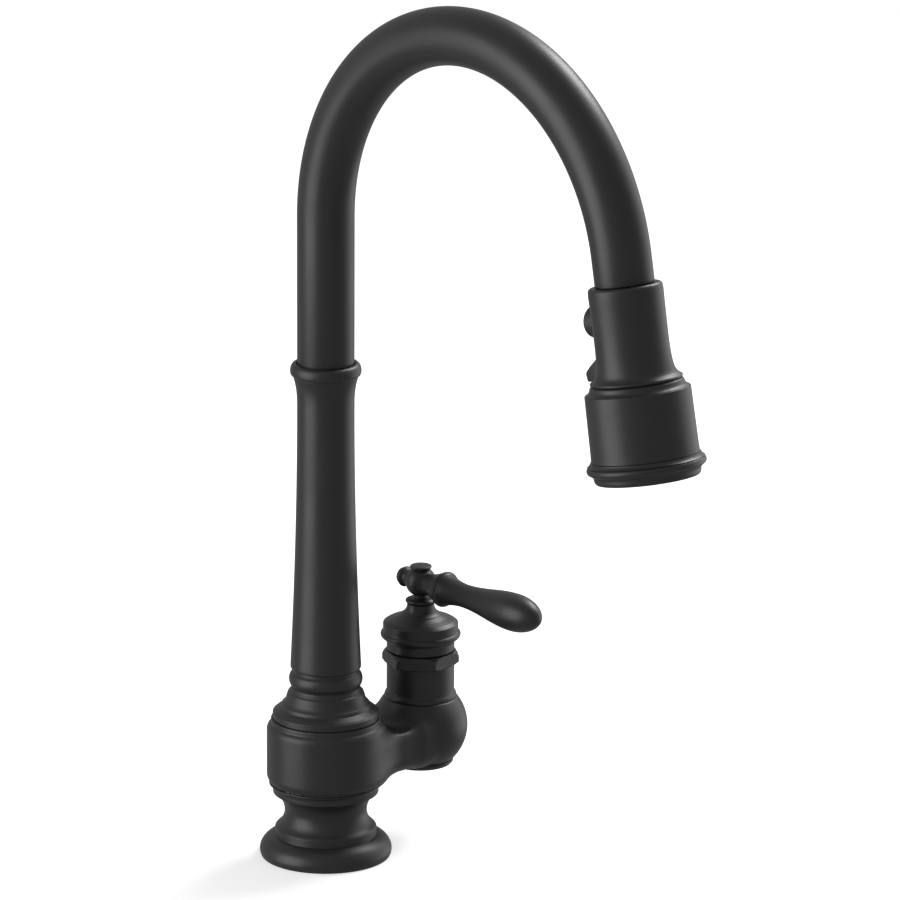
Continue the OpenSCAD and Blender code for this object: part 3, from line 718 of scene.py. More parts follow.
class FAUCET_OT_body(bpy.types.Operator):
    """Round body, neck and ball in one casting, with fillets where they meet"""

    bl_idname = "faucet.body"
    bl_label = "Body casting"

    def execute(self, context):
        shape = context.scene.faucet_shape
        bottom = span("pedestal")[1]
        top = span("shoulder_cap")[0]
        valve_x = PIVOT.x / MM
        barrel_r = -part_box("body_shell")[0].x / MM
        ball_r, ball_z = 24.0, 54.7
        neck_half_y, neck_half_z, neck_z = 20.5, 10.95, 49.55
        hollow_r, nipple_bore, shank_bore, passage_r = 21.5, 13.9, 16.0, 10
        ball_low, ball_high = span("base_plug", ON_VALVE)[0] + 2.6, span("valve_sleeve", ON_VALVE)[0]
        chamber_r = span("cartridge_body", ON_VALVE)[2] + 0.3
        fillet = shape.neck_fillet / MM
        barrel = rounded(
            [(0, bottom), (28.6, bottom)]
            + arc((barrel_r - 3, bottom + 4.6), 3, -60, 0, 6, squash=4.4 / 3)
            + arc((barrel_r - 4, top - 6), 4, 0, 60, 8)
            + [(27.5, top), (0, top)])

        def neck(p):
            y, z = np.abs(p[..., 1]), p[..., 2] - neck_z
            corner = np.where(z < 0, 8.0, 4.0)
            qy, qz = y - neck_half_y + corner, np.abs(z) - neck_half_z + corner
            box = np.hypot(np.maximum(qy, 0), np.maximum(qz, 0)) + np.minimum(np.maximum(qy, qz), 0) - corner
            return np.maximum(box, np.maximum(-p[..., 0], p[..., 0] - valve_x))

        def field(p):
            body = outline_field(barrel, np.hypot(p[..., 0], p[..., 1]), p[..., 2])
            body = melt(body, neck(p), fillet)
            ball = np.linalg.norm(p - np.array((valve_x, 0, ball_z)), axis=-1) - ball_r
            # the fillet fades out towards the valve's axis, where the neck ends inside the ball
            body = melt(body, ball, np.clip(0.7 * (valve_x - 4 - p[..., 0]), 0.6, 8))
            over_ball = p[..., 0] > barrel_r
            caps = np.maximum(ball_low - p[..., 2], p[..., 2] - ball_high)
            body = np.where(over_ball, np.maximum(body, caps), body)
            for hole in (tube_field(p, 2, (valve_x, 0), chamber_r, 44, 90),
                         tube_field(p, 2, (0, 0), hollow_r, 45, 64),
                         tube_field(p, 2, (0, 0), nipple_bore, 60, 90),
                         tube_field(p, 2, (0, 0), shank_bore, 20, 50),
                         tube_field(p, 0, (0, 51), passage_r, 0, valve_x)):
                body = np.maximum(body, -hole)
            return body

        step = shape.cast_step / MM
        low = (-barrel_r - 1.3, -barrel_r - 1.3, min(bottom, ball_low) - 1.3)
        high = (valve_x + ball_r + 1.3, barrel_r + 1.3, top + 1.3)
        casting = cast("body_casting", field, low, high, step)
        finish_piece(casting, "base", "matte_black_coat", "body_shell")
        plug_low, plug_high, plug_r = span("base_plug", ON_VALVE)
        plug = capped("valve_base_plug", rounded(
            [(0, plug_low), (plug_r - 1.2, plug_low, 0.6), (plug_r, plug_low + 1.2, 0.8),
             (plug_r, 37.2, 0.2), (12.5, 37.2, 0.1), (12.5, plug_high, 0.3), (0, plug_high)],
            closed=False), ON_VALVE)
        finish_piece(plug, "base", "matte_black_coat", "base_plug")
        return {"FINISHED"}


class FAUCET_OT_column(bpy.types.Operator):
    """Shoulder cap, bead ring and the tapered column with its flared collar"""

    bl_idname = "faucet.column"
    bl_label = "Column"

    def execute(self, context):
        bore = span("column_nipple")[2] + 0.02
        low, high, _ = span("shoulder_cap")
        cap = lathe("shoulder_cap_turned", rounded(
            [(bore, low, 0.1), (26.4, low, 0.3), (26.6, low + 0.5), (26.6, 75.3, 0.5), (25.4, 76.3, 0.3),
             (22.6, 78, 0.3)]
            + arc((26, 84.6), 6.4, 232, 190, 14)
            + [(19.0, 85.6, 0.4), (18.3, 86.2, 0.3), (17.4, 87.6, 0.3), (17.2, high, 0.15),
               (bore, high, 0.1)]))
        finish_piece(cap, "base", "matte_black_coat", "shoulder_cap")
        low, high, _ = span("bead_ring")
        bead = lathe("bead_ring_turned", rounded(
            [(bore, low, 0.1), (17.0, low, 0.2)]
            + arc((15.9, 92.5), 2.55, -62, 62, 22, squash=3.9 / 2.55)
            + [(16.5, 96.7, 0.3), (16.5, high, 0.2), (bore, high, 0.1)]))
        finish_piece(bead, "base", "matte_black_coat", "bead_ring")
        finish_piece(self.sleeve(bore), "base", "matte_black_coat", "column_sleeve")
        return {"FINISHED"}

    def sleeve(self, bore):
        """Slender taper that flares out to the collar under the spout"""
        foot, rim, collar_r = span("column_sleeve")
        ledge = span("spout_washer")[0]
        slim_r, foot_r = 14.27, 17.71
        neck_z, flare_z = 229.0, 234.0
        lip_z, flare = ledge - 0.6, 2.03
        taper = [(slim_r + (foot_r - slim_r) * (1 - t) ** 1.85, 99.8 + (neck_z - 99.8) * t)
                 for t in np.linspace(0, 1, 30)]
        collar = [(slim_r + flare * t ** 2.5, flare_z + (lip_z - flare_z) * t) for t in np.linspace(0, 1, 20)]
        spout_bore = 14.6
        nose_bore = span("upper_bush")[2]
        outline = rounded(
            [(bore, foot, 0.1), (17.15, foot, 0.3), (17.65, foot + 0.7, 0.3)] + taper + collar
            + [(collar[-1][0], ledge - 0.45)]
            + arc((collar_r - 2.47, rim - 3.8), 2.47, -30, 74, 22, squash=3.8 / 2.47)
            + [(spout_bore, rim, 0.3), (spout_bore, ledge, 0.1), (nose_bore, ledge, 0.1),
               (nose_bore, 112, 0.1), (bore, 112, 0.1)])
        return lathe("column_turned", outline)


# ------------------------------------------------------------------ spout

def spout_tree():
    """Geometry nodes: a straight rise, the gooseneck's arc and a short straight end, swept with a circle"""
    tree, inn, out = new_group(
        "gooseneck sweep", "GeometryNodeTree",
        [("Radius", "NodeSocketFloat", 0.0143), ("Low", "NodeSocketFloat", 0.25),
         ("Spring", "NodeSocketFloat", 0.33), ("Arc Radius", "NodeSocketFloat", 0.1067),
         ("Sweep", "NodeSocketFloat", 2.95), ("Straight", "NodeSocketFloat", 0.0132),
         ("Sides", "NodeSocketInt", 96), ("Material", "NodeSocketMaterial", None)],
        [("Geometry", "NodeSocketGeometry")])
    foot = add_node(tree, "ShaderNodeCombineXYZ", ("Z", inn.outputs["Low"]))
    spring = add_node(tree, "ShaderNodeCombineXYZ", ("Z", inn.outputs["Spring"]))
    rise = add_node(tree, "GeometryNodeCurvePrimitiveLine", ("Start", foot.outputs[0]),
                    ("End", spring.outputs[0]))
    bow = add_node(tree, "GeometryNodeCurveArc", ("Radius", inn.outputs["Arc Radius"]),
                   ("Sweep Angle", inn.outputs["Sweep"]), inputs={"Resolution": 170})
    back = add_node(tree, "ShaderNodeMath", (0, inn.outputs["Arc Radius"]), operation="MULTIPLY",
                    inputs={1: -1.0})
    centre = add_node(tree, "ShaderNodeCombineXYZ", ("Y", back.outputs[0]), ("Z", inn.outputs["Spring"]))
    placed = add_node(tree, "GeometryNodeTransform", ("Geometry", bow.outputs["Curve"]),
                      ("Translation", centre.outputs[0]),
                      inputs={"Rotation": (math.pi / 2, 0, math.pi / 2)})
    # the straight end leaves the arc's last point along its tangent
    tip = add_node(tree, "ShaderNodeCombineXYZ", ("X", inn.outputs["Arc Radius"]))
    tip_end = add_node(tree, "ShaderNodeCombineXYZ", ("X", inn.outputs["Arc Radius"]),
                       ("Y", inn.outputs["Straight"]))
    end = add_node(tree, "GeometryNodeCurvePrimitiveLine", ("Start", tip.outputs[0]),
                   ("End", tip_end.outputs[0]))
    swing = add_node(tree, "ShaderNodeCombineXYZ", ("Z", inn.outputs["Sweep"]))
    swung = add_node(tree, "GeometryNodeTransform", ("Geometry", end.outputs["Curve"]),
                     ("Rotation", swing.outputs[0]))
    end_placed = add_node(tree, "GeometryNodeTransform", ("Geometry", swung.outputs[0]),
                          ("Translation", centre.outputs[0]),
                          inputs={"Rotation": (math.pi / 2, 0, math.pi / 2)})
    join = add_node(tree, "GeometryNodeJoinGeometry")
    for part in (rise.outputs["Curve"], placed.outputs[0], end_placed.outputs[0]):
        line = add_node(tree, "GeometryNodeCurveToMesh", ("Curve", part))
        tree.links.new(line.outputs[0], join.inputs[0])
    weld = add_node(tree, "GeometryNodeMergeByDistance", ("Geometry", join.outputs[0]),
                    inputs={"Distance": 0.00005})
    path = add_node(tree, "GeometryNodeMeshToCurve", ("Mesh", weld.outputs[0]))
    circle = add_node(tree, "GeometryNodeCurvePrimitiveCircle", ("Radius", inn.outputs["Radius"]),
                      ("Resolution", inn.outputs["Sides"]))
    sweep = add_node(tree, "GeometryNodeCurveToMesh", ("Curve", path.outputs[0]),
                     ("Profile Curve", circle.outputs["Curve"]))
    close_tree(tree, inn, out, sweep.outputs[0])
    return tree


def close_tree(tree, inn, out, geometry):
    """Ends a tree in Realize Instances and Set Material"""
    real = add_node(tree, "GeometryNodeRealizeInstances", ("Geometry", geometry))
    painted = add_node(tree, "GeometryNodeSetMaterial", ("Geometry", real.outputs[0]),
                       ("Material", inn.outputs["Material"]))
    tree.links.new(painted.outputs[0], out.inputs[0])


def grow(name, tree, values):
    """Runs a geometry-nodes tree on a piece with the given inputs and returns the plain mesh object"""
    obj = mesh_object(name, [(0, 0, 0)], [])
    modifier = obj.modifiers.new(tree.name, "NODES")
    modifier.node_group = tree
    sockets = {item.name: item.identifier for item in tree.interface.items_tree if item.in_out == "INPUT"}
    for title, value in values.items():
        modifier[sockets[title]] = value
    return apply_modifiers(obj)


class FAUCET_OT_spout(bpy.types.Operator):
    """Gooseneck tube, bent from one length and hollow"""

    bl_idname = "faucet.spout"
    bl_label = "Spout tube"

    def execute(self, context):
        shape = context.scene.faucet_shape
        coat = material_named("matte_black_coat")
        bore_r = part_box("dock_socket")[1].x
        low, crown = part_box("spout_tube")[0].z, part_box("spout_tube")[1].z
        lean = math.pi - HEAD_TURN
        arc_r = (-MOUTH.y - STRAIGHT_END * math.sin(lean)) / (1 + math.cos(lean))
        spring = MOUTH.z + STRAIGHT_END * math.cos(lean) - arc_r * math.sin(lean)
        tube_r = crown - spring - arc_r
        tube = grow("gooseneck_tube", spout_tree(), {
            "Radius": tube_r, "Low": low, "Spring": spring, "Arc Radius": arc_r,
            "Sweep": HEAD_TURN, "Straight": STRAIGHT_END, "Sides": 112, "Material": coat})
        dress(tube)
        self.outwards(tube)
        wall = tube.modifiers.new("wall", "SOLIDIFY")
        wall.thickness = tube_r - bore_r
        wall.offset = -1
        wall.use_even_offset = True
        bevel = tube.modifiers.new("rims", "BEVEL")
        bevel.width = shape.rim_bevel
        bevel.segments = 3
        bevel.angle_limit = math.radians(60)
        apply_modifiers(tube)
        finish_piece(tube, "spout", "matte_black_coat", "spout_tube")
        return {"FINISHED"}

    def outwards(self, tube):
        """The open tube's faces point away from its path"""
        face = tube.data.polygons[0]
        if face.center.xy.dot(face.normal.xy) < 0 and face.center.z < MOUTH.z:
            tube.data.flip_normals()


# ------------------------------------------------------------------ valve

class FAUCET_OT_valve(bpy.types.Operator):
    """Sleeve, six-sided nut and domed bonnet above the ball"""

    bl_idname = "faucet.valve"
    bl_label = "Valve"

    def execute(self, context):
        bore = span("cartridge_body", ON_VALVE)[2] + 0.3
        low, high, _ = span("valve_sleeve", ON_VALVE)
        sleeve_r = 17.15
        sleeve = lathe("valve_sleeve_turned", rounded(
            [(bore, low, 0.1), (18.2, low, 0.2), (18.35, 70.8, 0.3), (18.0, 72.0, 0.3), (17.4, 72.7, 0.3),
             (sleeve_r, 73.9, 0.5), (sleeve_r, high, 0.25), (bore, high, 0.1)]), ON_VALVE)
        finish_piece(sleeve, "base", "matte_black_coat", "valve_sleeve")
        finish_piece(self.nut(bore), "base", "matte_black_coat", "retaining_nut")
        finish_piece(self.bonnet(sleeve_r), "base", "matte_black_coat", "bonnet")
        return {"FINISHED"}

    def nut(self, bore):
        """The flats cap the radius of a turned blank, which leaves the curved chamfers of a real nut"""
        low, high, corner_r = span("retaining_nut", ON_VALVE)
        top = span("bonnet", ON_VALVE)[0] - 0.3
        flats, turned_by = corner_r * math.cos(math.radians(30)), math.radians(10.5)
        sixth = math.radians(60)

        def limit(a):
            off = (a - turned_by) % sixth - sixth / 2
            return min(flats / math.cos(off), corner_r - 0.15)

        blank = rounded(
            [(bore, low, 0.1), (18.4, low, 0.3)] + arc((corner_r - 1.4, low + 1.5), 1.4, -40, 0, 6)
            + [(corner_r, low + 3.4, 0.5), (18.9, top - 1.2), (17.7, top, 0.3),
               (14.9, top, 0.1), (14.9, high, 0.2), (bore, high, 0.2)])
        return lathe("retaining_nut_hex", blank, ON_VALVE, segments=288, limit=limit)

    def bonnet(self, sleeve_r):
        """Beaded dome that closes in on the spindle"""
        low, top, bead_r = span("bonnet", ON_VALVE)
        wall_r = 19.05
        stem_bore = 4.05
        outline = rounded(
            [(15, low, 0.2), (sleeve_r - 0.5, low, 0.3), (sleeve_r, low + 0.6, 0.3), (sleeve_r, 98.7)]
            + arc((sleeve_r + 1.75, 98.9), 1.75, 178, 96, 12)
            + arc((bead_r - 2.2, 102.8), 2.2, -64, 58, 18, squash=1.9 / 2.2)
            + [(wall_r, 105.2, 0.3), (wall_r, 108.9, 0.9), (16.6, 110.4, 1.2), (13.2, 111.6, 2.0),
               (10.6, 112.9, 0.6)]
            + arc((12.6, 118.6), 5.7, 244, 184, 14)
            + [(6.9, top, 0.25), (stem_bore, top, 0.2), (stem_bore, 108, 0.2), (15, 106, 0.4)])
        return lathe("bonnet_turned", outline, ON_VALVE)


class FAUCET_OT_lever(bpy.types.Operator):
    """Spindle collar, hub with its cap and finial, and the drop-shaped handle"""

    bl_idname = "faucet.lever"
    bl_label = "Lever"

    def execute(self, context):
        finish_piece(self.spindle(), "spindle", "matte_black_coat", "spindle")
        finish_piece(self.hub(), "lever", "matte_black_coat", "hub_ball")
        cap = capped("hub_cap_turned", rounded(
            [(0, 6.6), (4.9, 6.6, 0.1)] + arc((4.9, 7.85), 0.65, -70, 62, 10) + [(3.4, 8.75, 1.0), (0, 9.0)],
            closed=False), ON_HUB, 96)
        finish_piece(cap, "lever", "matte_black_coat", "hub_cap")
        behind = ON_LEVER @ Matrix.Rotation(math.pi, 4, "X")
        finial = capped("hub_finial_turned", rounded(
            [(0, 6.8), (4.3, 6.8, 0.2), (3.95, 8.2, 0.8), (4.0, 9.6, 0.8), (4.7, 10.4)]
            + arc((4.4, 11.4), 0.9, -48, 60, 12)
            + [(4.15, 12.5, 0.25), (4.5, 13.1, 0.3), (4.2, 14.0, 0.5), (2.0, 14.3, 1.0), (0, 14.3)],
            closed=False), behind, 96)
        finish_piece(finial, "lever", "matte_black_coat", "hub_finial")
        finish_piece(self.handle(), "lever", "matte_black_coat", "lever_handle")
        return {"FINISHED"}

    def spindle(self):
        """Stem through the bonnet, with the collar above it and the pin inside the hub"""
        low = span("spindle", ON_VALVE)[0]
        top = span("bonnet", ON_VALVE)[1] + 0.3
        outline = rounded(
            [(0, low), (8, low, 0.2), (8, 71, 0.3), (4.0, 71, 0.2), (4.0, top, 0.1), (6.7, top, 0.2)]
            + arc((6.85, top + 1.1), 0.9, -60, 70, 10)
            + [(6.1, 121.6, 0.3), (3.0, 121.7, 0.1), (3.0, 128.6, 0.8), (0, 128.8)], closed=False)
        return capped("spindle_turned", outline, ON_VALVE)

    def hub(self):
        """Ball with the seats of the cap, the finial and the handle, and a slot for the spindle"""
        ball_r, slot = 7.8, 3.2

        def field(p):
            ball = np.linalg.norm(p, axis=-1) - ball_r
            y, z = p[..., 1], p[..., 2]
            # the slot is open below, and reaches further back to let the lever lift
            wedge = np.maximum(np.maximum(-3.4 - y, z - 0.5),
                               np.maximum(-9 - z, y - 3.6 + 0.42 * np.minimum(z, 0)))
            room = np.maximum(np.abs(p[..., 0]) - slot, np.minimum(wedge, np.hypot(y, z) - 3.4))
            seats = np.minimum(np.minimum(z * -1 + 7.0, 7.0 - y), y + 6.0)
            return np.maximum(carve(ball, room, 0.3), -seats)

        reach = (ball_r + 0.9,) * 3
        return cast("hub_ball_cast", field, tuple(-v for v in reach), reach, 0.22, ON_HUB)

    def handle(self):
        """Waisted drop with a turned collar next to the hub"""
        _, tip, bulb_r = span("lever_handle", ON_LEVER)
        bulb_z = tip - 17.9
        neck_r, neck_z = 5.93, 32.6
        waist = [(neck_r + (bulb_r - neck_r) * (1 - math.cos(math.pi * t ** 1.05)) / 2,
                  neck_z + (bulb_z - neck_z) * t) for t in np.linspace(0, 1, 30)]
        outline = rounded(
            [(0, 5.6), (5.2, 5.6, 0.2), (5.5, 8), (6.2, 11), (7.4, 14.4), (8.3, 16.9, 0.5)]
            + arc((8.1, 18.4), 1.05, -58, 66, 14)
            + [(8.0, 20.4, 0.4), (7.3, 22.6), (6.7, 25.2), (6.2, 28.6)] + waist
            + arc((0, bulb_z), bulb_r, 4, 90, 30, squash=(tip - bulb_z) / bulb_r), closed=False)
        outline[-1] = Vector((0, tip))
        return capped("lever_handle_turned", smooth(outline, 10, 30), ON_LEVER, 112)


def smooth(outline, first, last, rounds=2):
    """Relaxes the outline between two of its points, which takes the corners out of a free curve"""
    for _ in range(rounds):
        inner = [(outline[i - 1] + outline[i] * 2 + outline[i + 1]) / 4 for i in range(first, last)]
        outline = outline[:first] + inner + outline[last:]
    return outline


# ------------------------------------------------------------------ spray head

class FAUCET_OT_grip(bpy.types.Operator):
    """Grip of the spray head, with the wells of the button and the thumb tab"""

    bl_idname = "faucet.grip"
    bl_label = "Grip"

    def execute(self, context):
        rim_r = 17.87
        low_r, edge_z, flare_z = 17.6, 44.9, 24.0
        top = 0.3
        outline = rounded(
            [(12.5, top), (rim_r - 2.2, top)] + arc((rim_r - 2, top + 1.8), 1.9, -80, 0, 10)
            + [(rim_r, 3.8), (17.72, 12)]
            + [(low_r + 1.9 * t ** 3 + 2.6 * t ** 14, flare_z + (edge_z - flare_z) * t)
               for t in np.linspace(0, 1, 26)]
            + [(22.0, 45.35), (21.9, 45.9), (21.2, 46.4), (15.4, 46.4), (15.4, 8), (12.5, 8)])
        well_r = 7.85 + 0.3

        def field(p):
            r = np.hypot(p[..., 0], p[..., 1])
            shell = outline_field(outline, r, p[..., 2])
            boss = np.maximum(tube_field(p, 1, (0, BUTTON_Z), well_r + 1.5, -16.2, -10.2), r - 16.5)
            shell = np.minimum(shell, boss)
            shell = carve(shell, tube_field(p, 1, (0, BUTTON_Z), well_r, -40, -11.7), 0.7)
            shell = carve(shell, tube_field(p, 1, (0, BUTTON_Z), 2.3, -40, 0), 0.3)
            window = np.maximum(np.abs(p[..., 0]) - 8.8,
                                np.maximum(np.abs(p[..., 2] - 39.85) - 5.85, p[..., 1]))
            return carve(shell, window, 0.7)

        grip = cast("grip_cast", field, (-22.8, -22.8, -0.6), (22.8, 22.8, 47.2), 0.45, ON_HEAD)
        finish_piece(grip, "spray_head", "matte_black_coat", "grip_shell")
        return {"FINISHED"}


class FAUCET_OT_head_turnings(bpy.types.Operator):
    """Cove band, skirt and trim ring below the grip"""

    bl_idname = "faucet.head_turnings"
    bl_label = "Head rings"

    def execute(self, context):
        bore, inner = 15.4, span("spray_housing", ON_HEAD)[2]
        low, high, _ = span("cove_band", ON_HEAD)
        cove = lathe("cove_band_turned", rounded(
            [(bore, low, 0.1), (21.6, low, 0.3), (22.3, 46.9, 0.4)]
            + arc((25.4, 47.4), 2.8, 172, 108, 12) + [(24.8, high, 0.1), (bore, high, 0.1)]), ON_HEAD)
        finish_piece(cove, "spray_head", "matte_black_coat", "cove_band")
        top, low, _ = span("skirt", ON_HEAD)
        edge_r = 25.25
        skirt = lathe("skirt_turned", rounded(
            [(inner, top, 0.1), (edge_r, top, 0.55), (25.5, 68, 8), (25.65, 78, 5), (25.85, low, 0.25),
             (inner, low, 0.1)]), ON_HEAD)
        finish_piece(skirt, "spray_head", "matte_black_coat", "skirt")
        top, tip, bead_r = span("trim_ring", ON_HEAD)
        ring = lathe("trim_ring_turned", rounded(
            [(inner, top, 0.1), (25.7, top, 0.2)] + arc((29.4, 81.2), 3.2, 162, 116, 8)
            + arc((bead_r - 1.6, 86), 1.6, -62, 66, 18, squash=1.9 / 1.6)
            + [(26.1, 88.7, 0.5), (25.6, 89.5, 0.3), (25.4, 91.2, 1.0), (24.9, 92.2, 0.5), (24.3, tip, 0.3),
               (23.6, tip, 0.25), (23.3, 90.6, 0.3), (23.3, 88.2, 0.1), (inner, 88.2, 0.1)]), ON_HEAD)
        finish_piece(ring, "spray_head", "matte_black_coat", "trim_ring")
        return {"FINISHED"}


def ring_tree(name, rings):
    """Geometry nodes: copies of a small piece at the points of rings round z"""
    tree, inn, out = new_group(
        name, "GeometryNodeTree",
        [("Piece", "NodeSocketObject", None), ("Material", "NodeSocketMaterial", None)]
        + [(f"Radius {i}", "NodeSocketFloat", 0.01) for i in range(rings)]
        + [(f"Count {i}", "NodeSocketInt", 8) for i in range(rings)],
        [("Geometry", "NodeSocketGeometry")])
    piece = add_node(tree, "GeometryNodeObjectInfo", ("Object", inn.outputs["Piece"]))
    join = add_node(tree, "GeometryNodeJoinGeometry")
    for i in range(rings):
        ring = add_node(tree, "GeometryNodeMeshCircle", ("Radius", inn.outputs[f"Radius {i}"]),
                        ("Vertices", inn.outputs[f"Count {i}"]))
        copies = add_node(tree, "GeometryNodeInstanceOnPoints", ("Points", ring.outputs[0]),
                          ("Instance", piece.outputs["Geometry"]))
        tree.links.new(copies.outputs[0], join.inputs[0])
    close_tree(tree, inn, out, join.outputs[0])
    return tree


def screen_tree():
    """Geometry nodes: hexagonal cells packed in a disc"""
    tree, inn, out = new_group(
        "aerator screen", "GeometryNodeTree",
        [("Piece", "NodeSocketObject", None), ("Pitch", "NodeSocketFloat", 0.0016),
         ("Radius", "NodeSocketFloat", 0.008), ("Rows", "NodeSocketInt", 13),
         ("Material", "NodeSocketMaterial", None)], [("Geometry", "NodeSocketGeometry")])
    piece = add_node(tree, "GeometryNodeObjectInfo", ("Object", inn.outputs["Piece"]))
    width = add_node(tree, "ShaderNodeMath", (0, inn.outputs["Pitch"]), (1, inn.outputs["Rows"]),
                     operation="MULTIPLY")
    height = add_node(tree, "ShaderNodeMath", (0, width.outputs[0]), operation="MULTIPLY",
                      inputs={1: math.sqrt(3) / 2})
    count = add_node(tree, "ShaderNodeMath", (0, inn.outputs["Rows"]), operation="ADD", inputs={1: 1.0})
    grid = add_node(tree, "GeometryNodeMeshGrid", ("Size X", width.outputs[0]), ("Size Y", height.outputs[0]),
                    ("Vertices X", count.outputs[0]), ("Vertices Y", count.outputs[0]))
    # every second row moves by half a pitch
    index = add_node(tree, "GeometryNodeInputIndex")
    row = add_node(tree, "ShaderNodeMath", (0, index.outputs[0]), (1, count.outputs[0]), operation="MODULO")
    odd = add_node(tree, "ShaderNodeMath", (0, row.outputs[0]), operation="MODULO", inputs={1: 2.0})
    half = add_node(tree, "ShaderNodeMath", (0, odd.outputs[0]), (1, inn.outputs["Pitch"]),
                    operation="MULTIPLY")
    slide = add_node(tree, "ShaderNodeMath", (0, half.outputs[0]), operation="MULTIPLY", inputs={1: 0.5})
    offset = add_node(tree, "ShaderNodeCombineXYZ", ("X", slide.outputs[0]))
    moved = add_node(tree, "GeometryNodeSetPosition", ("Geometry", grid.outputs[0]),
                     ("Offset", offset.outputs[0]))
    place = add_node(tree, "GeometryNodeInputPosition")
    far = add_node(tree, "ShaderNodeVectorMath", (0, place.outputs[0]), operation="LENGTH")
    outside = add_node(tree, "FunctionNodeCompare", (0, far.outputs["Value"]), (1, inn.outputs["Radius"]),
                       data_type="FLOAT", operation="GREATER_THAN")
    kept = add_node(tree, "GeometryNodeDeleteGeometry", ("Geometry", moved.outputs[0]),
                    ("Selection", outside.outputs[0]), domain="POINT")
    copies = add_node(tree, "GeometryNodeInstanceOnPoints", ("Points", kept.outputs[0]),
                      ("Instance", piece.outputs["Geometry"]))
    close_tree(tree, inn, out, copies.outputs[0])
    return tree


def place_mesh(obj, place):
    """Moves a mesh drawn about its own axis to its place in the frame, with the object left at the origin"""
    obj.data.transform(place)


class FAUCET_OT_spray_face(bpy.types.Operator):
    """Spray plate with its rubber nozzles and the aerator in the middle"""

    bl_idname = "faucet.spray_face"
    bl_label = "Spray face"

    def execute(self, context):
        shape = context.scene.faucet_shape
        self.plate()
        self.nozzles(shape)
        self.aerator(shape)
        return {"FINISHED"}

    def plate(self):
        """Plate with a shallow groove between the rings and a raised lip round the aerator"""
        low, face_z, plate_r = span("spray_plate", ON_HEAD)
        outline = rounded(
            [(10.55, low, 0.1), (plate_r, low, 0.1), (plate_r, face_z - 0.2, 0.4), (22.2, face_z, 0.4),
             (18.4, face_z, 0.3), (18.1, face_z - 0.35, 0.2), (17.7, face_z - 0.35, 0.2), (17.4, face_z, 0.3),
             (13.2, face_z, 0.3), (12.8, face_z - 0.4, 0.3), (11.6, face_z - 0.4, 0.3), (11.3, face_z, 0.2),
             (10.55, face_z, 0.2)])
        plate = lathe("spray_plate_moulded", outline, ON_HEAD)
        finish_piece(plate, "spray_head", "black_moulding", "spray_plate")

    def nozzles(self, shape):
        face_z = span("spray_plate", ON_HEAD)[1]
        rise = shape.nozzle_height / MM
        nub = lathe("nozzle_pattern", rounded(
            [(0.28, -0.4), (1.1, -0.4), (1.1, 0.1, 0.15), (0.85, rise - 0.15, 0.2), (0.5, rise, 0.12),
             (0.28, rise, 0.1)], steps=3), segments=16)
        outer = 30
        nozzles = grow("spray_nozzles_moulded", ring_tree("nozzle rings", 2), {
            "Piece": nub, "Material": material_named("soft_rubber"),
            "Radius 0": 20.4 * MM, "Count 0": outer, "Radius 1": 15.4 * MM, "Count 1": outer * 2 // 3})
        bpy.data.objects.remove(nub)
        place_mesh(nozzles, ON_HEAD @ Matrix.Translation((0, 0, face_z * MM)))
        finish_piece(nozzles, "spray_head", "soft_rubber", "spray_nozzles")

    def aerator(self, shape):
        low, high, outer_r = span("aerator", ON_HEAD)
        screen_z = high - 1.6
        cup = lathe("aerator_cup", rounded(
            [(0, low), (outer_r, low, 0.2), (outer_r, high, 0.3), (9.3, high, 0.3), (8.5, screen_z, 0.2),
             (8.5, screen_z - 2.2, 0.3), (0, screen_z - 2.2)], closed=False), ON_HEAD, closed=False)
        finish_piece(cup, "spray_head", "black_moulding", "aerator")
        cell = lathe("cell_pattern", [(0.74, 0), (0.97, 0), (0.97, 0.9), (0.74, 0.9)], segments=6)
        screen = grow("aerator_screen", screen_tree(), {
            "Piece": cell, "Pitch": shape.screen_pitch, "Radius": 7.7 * MM, "Rows": 12,
            "Material": material_named("black_moulding")})
        bpy.data.objects.remove(cell)
        place_mesh(screen, ON_HEAD @ Matrix.Translation((0, 0, (screen_z - 1.5) * MM)))
        finish_piece(screen, "spray_head", "black_moulding")


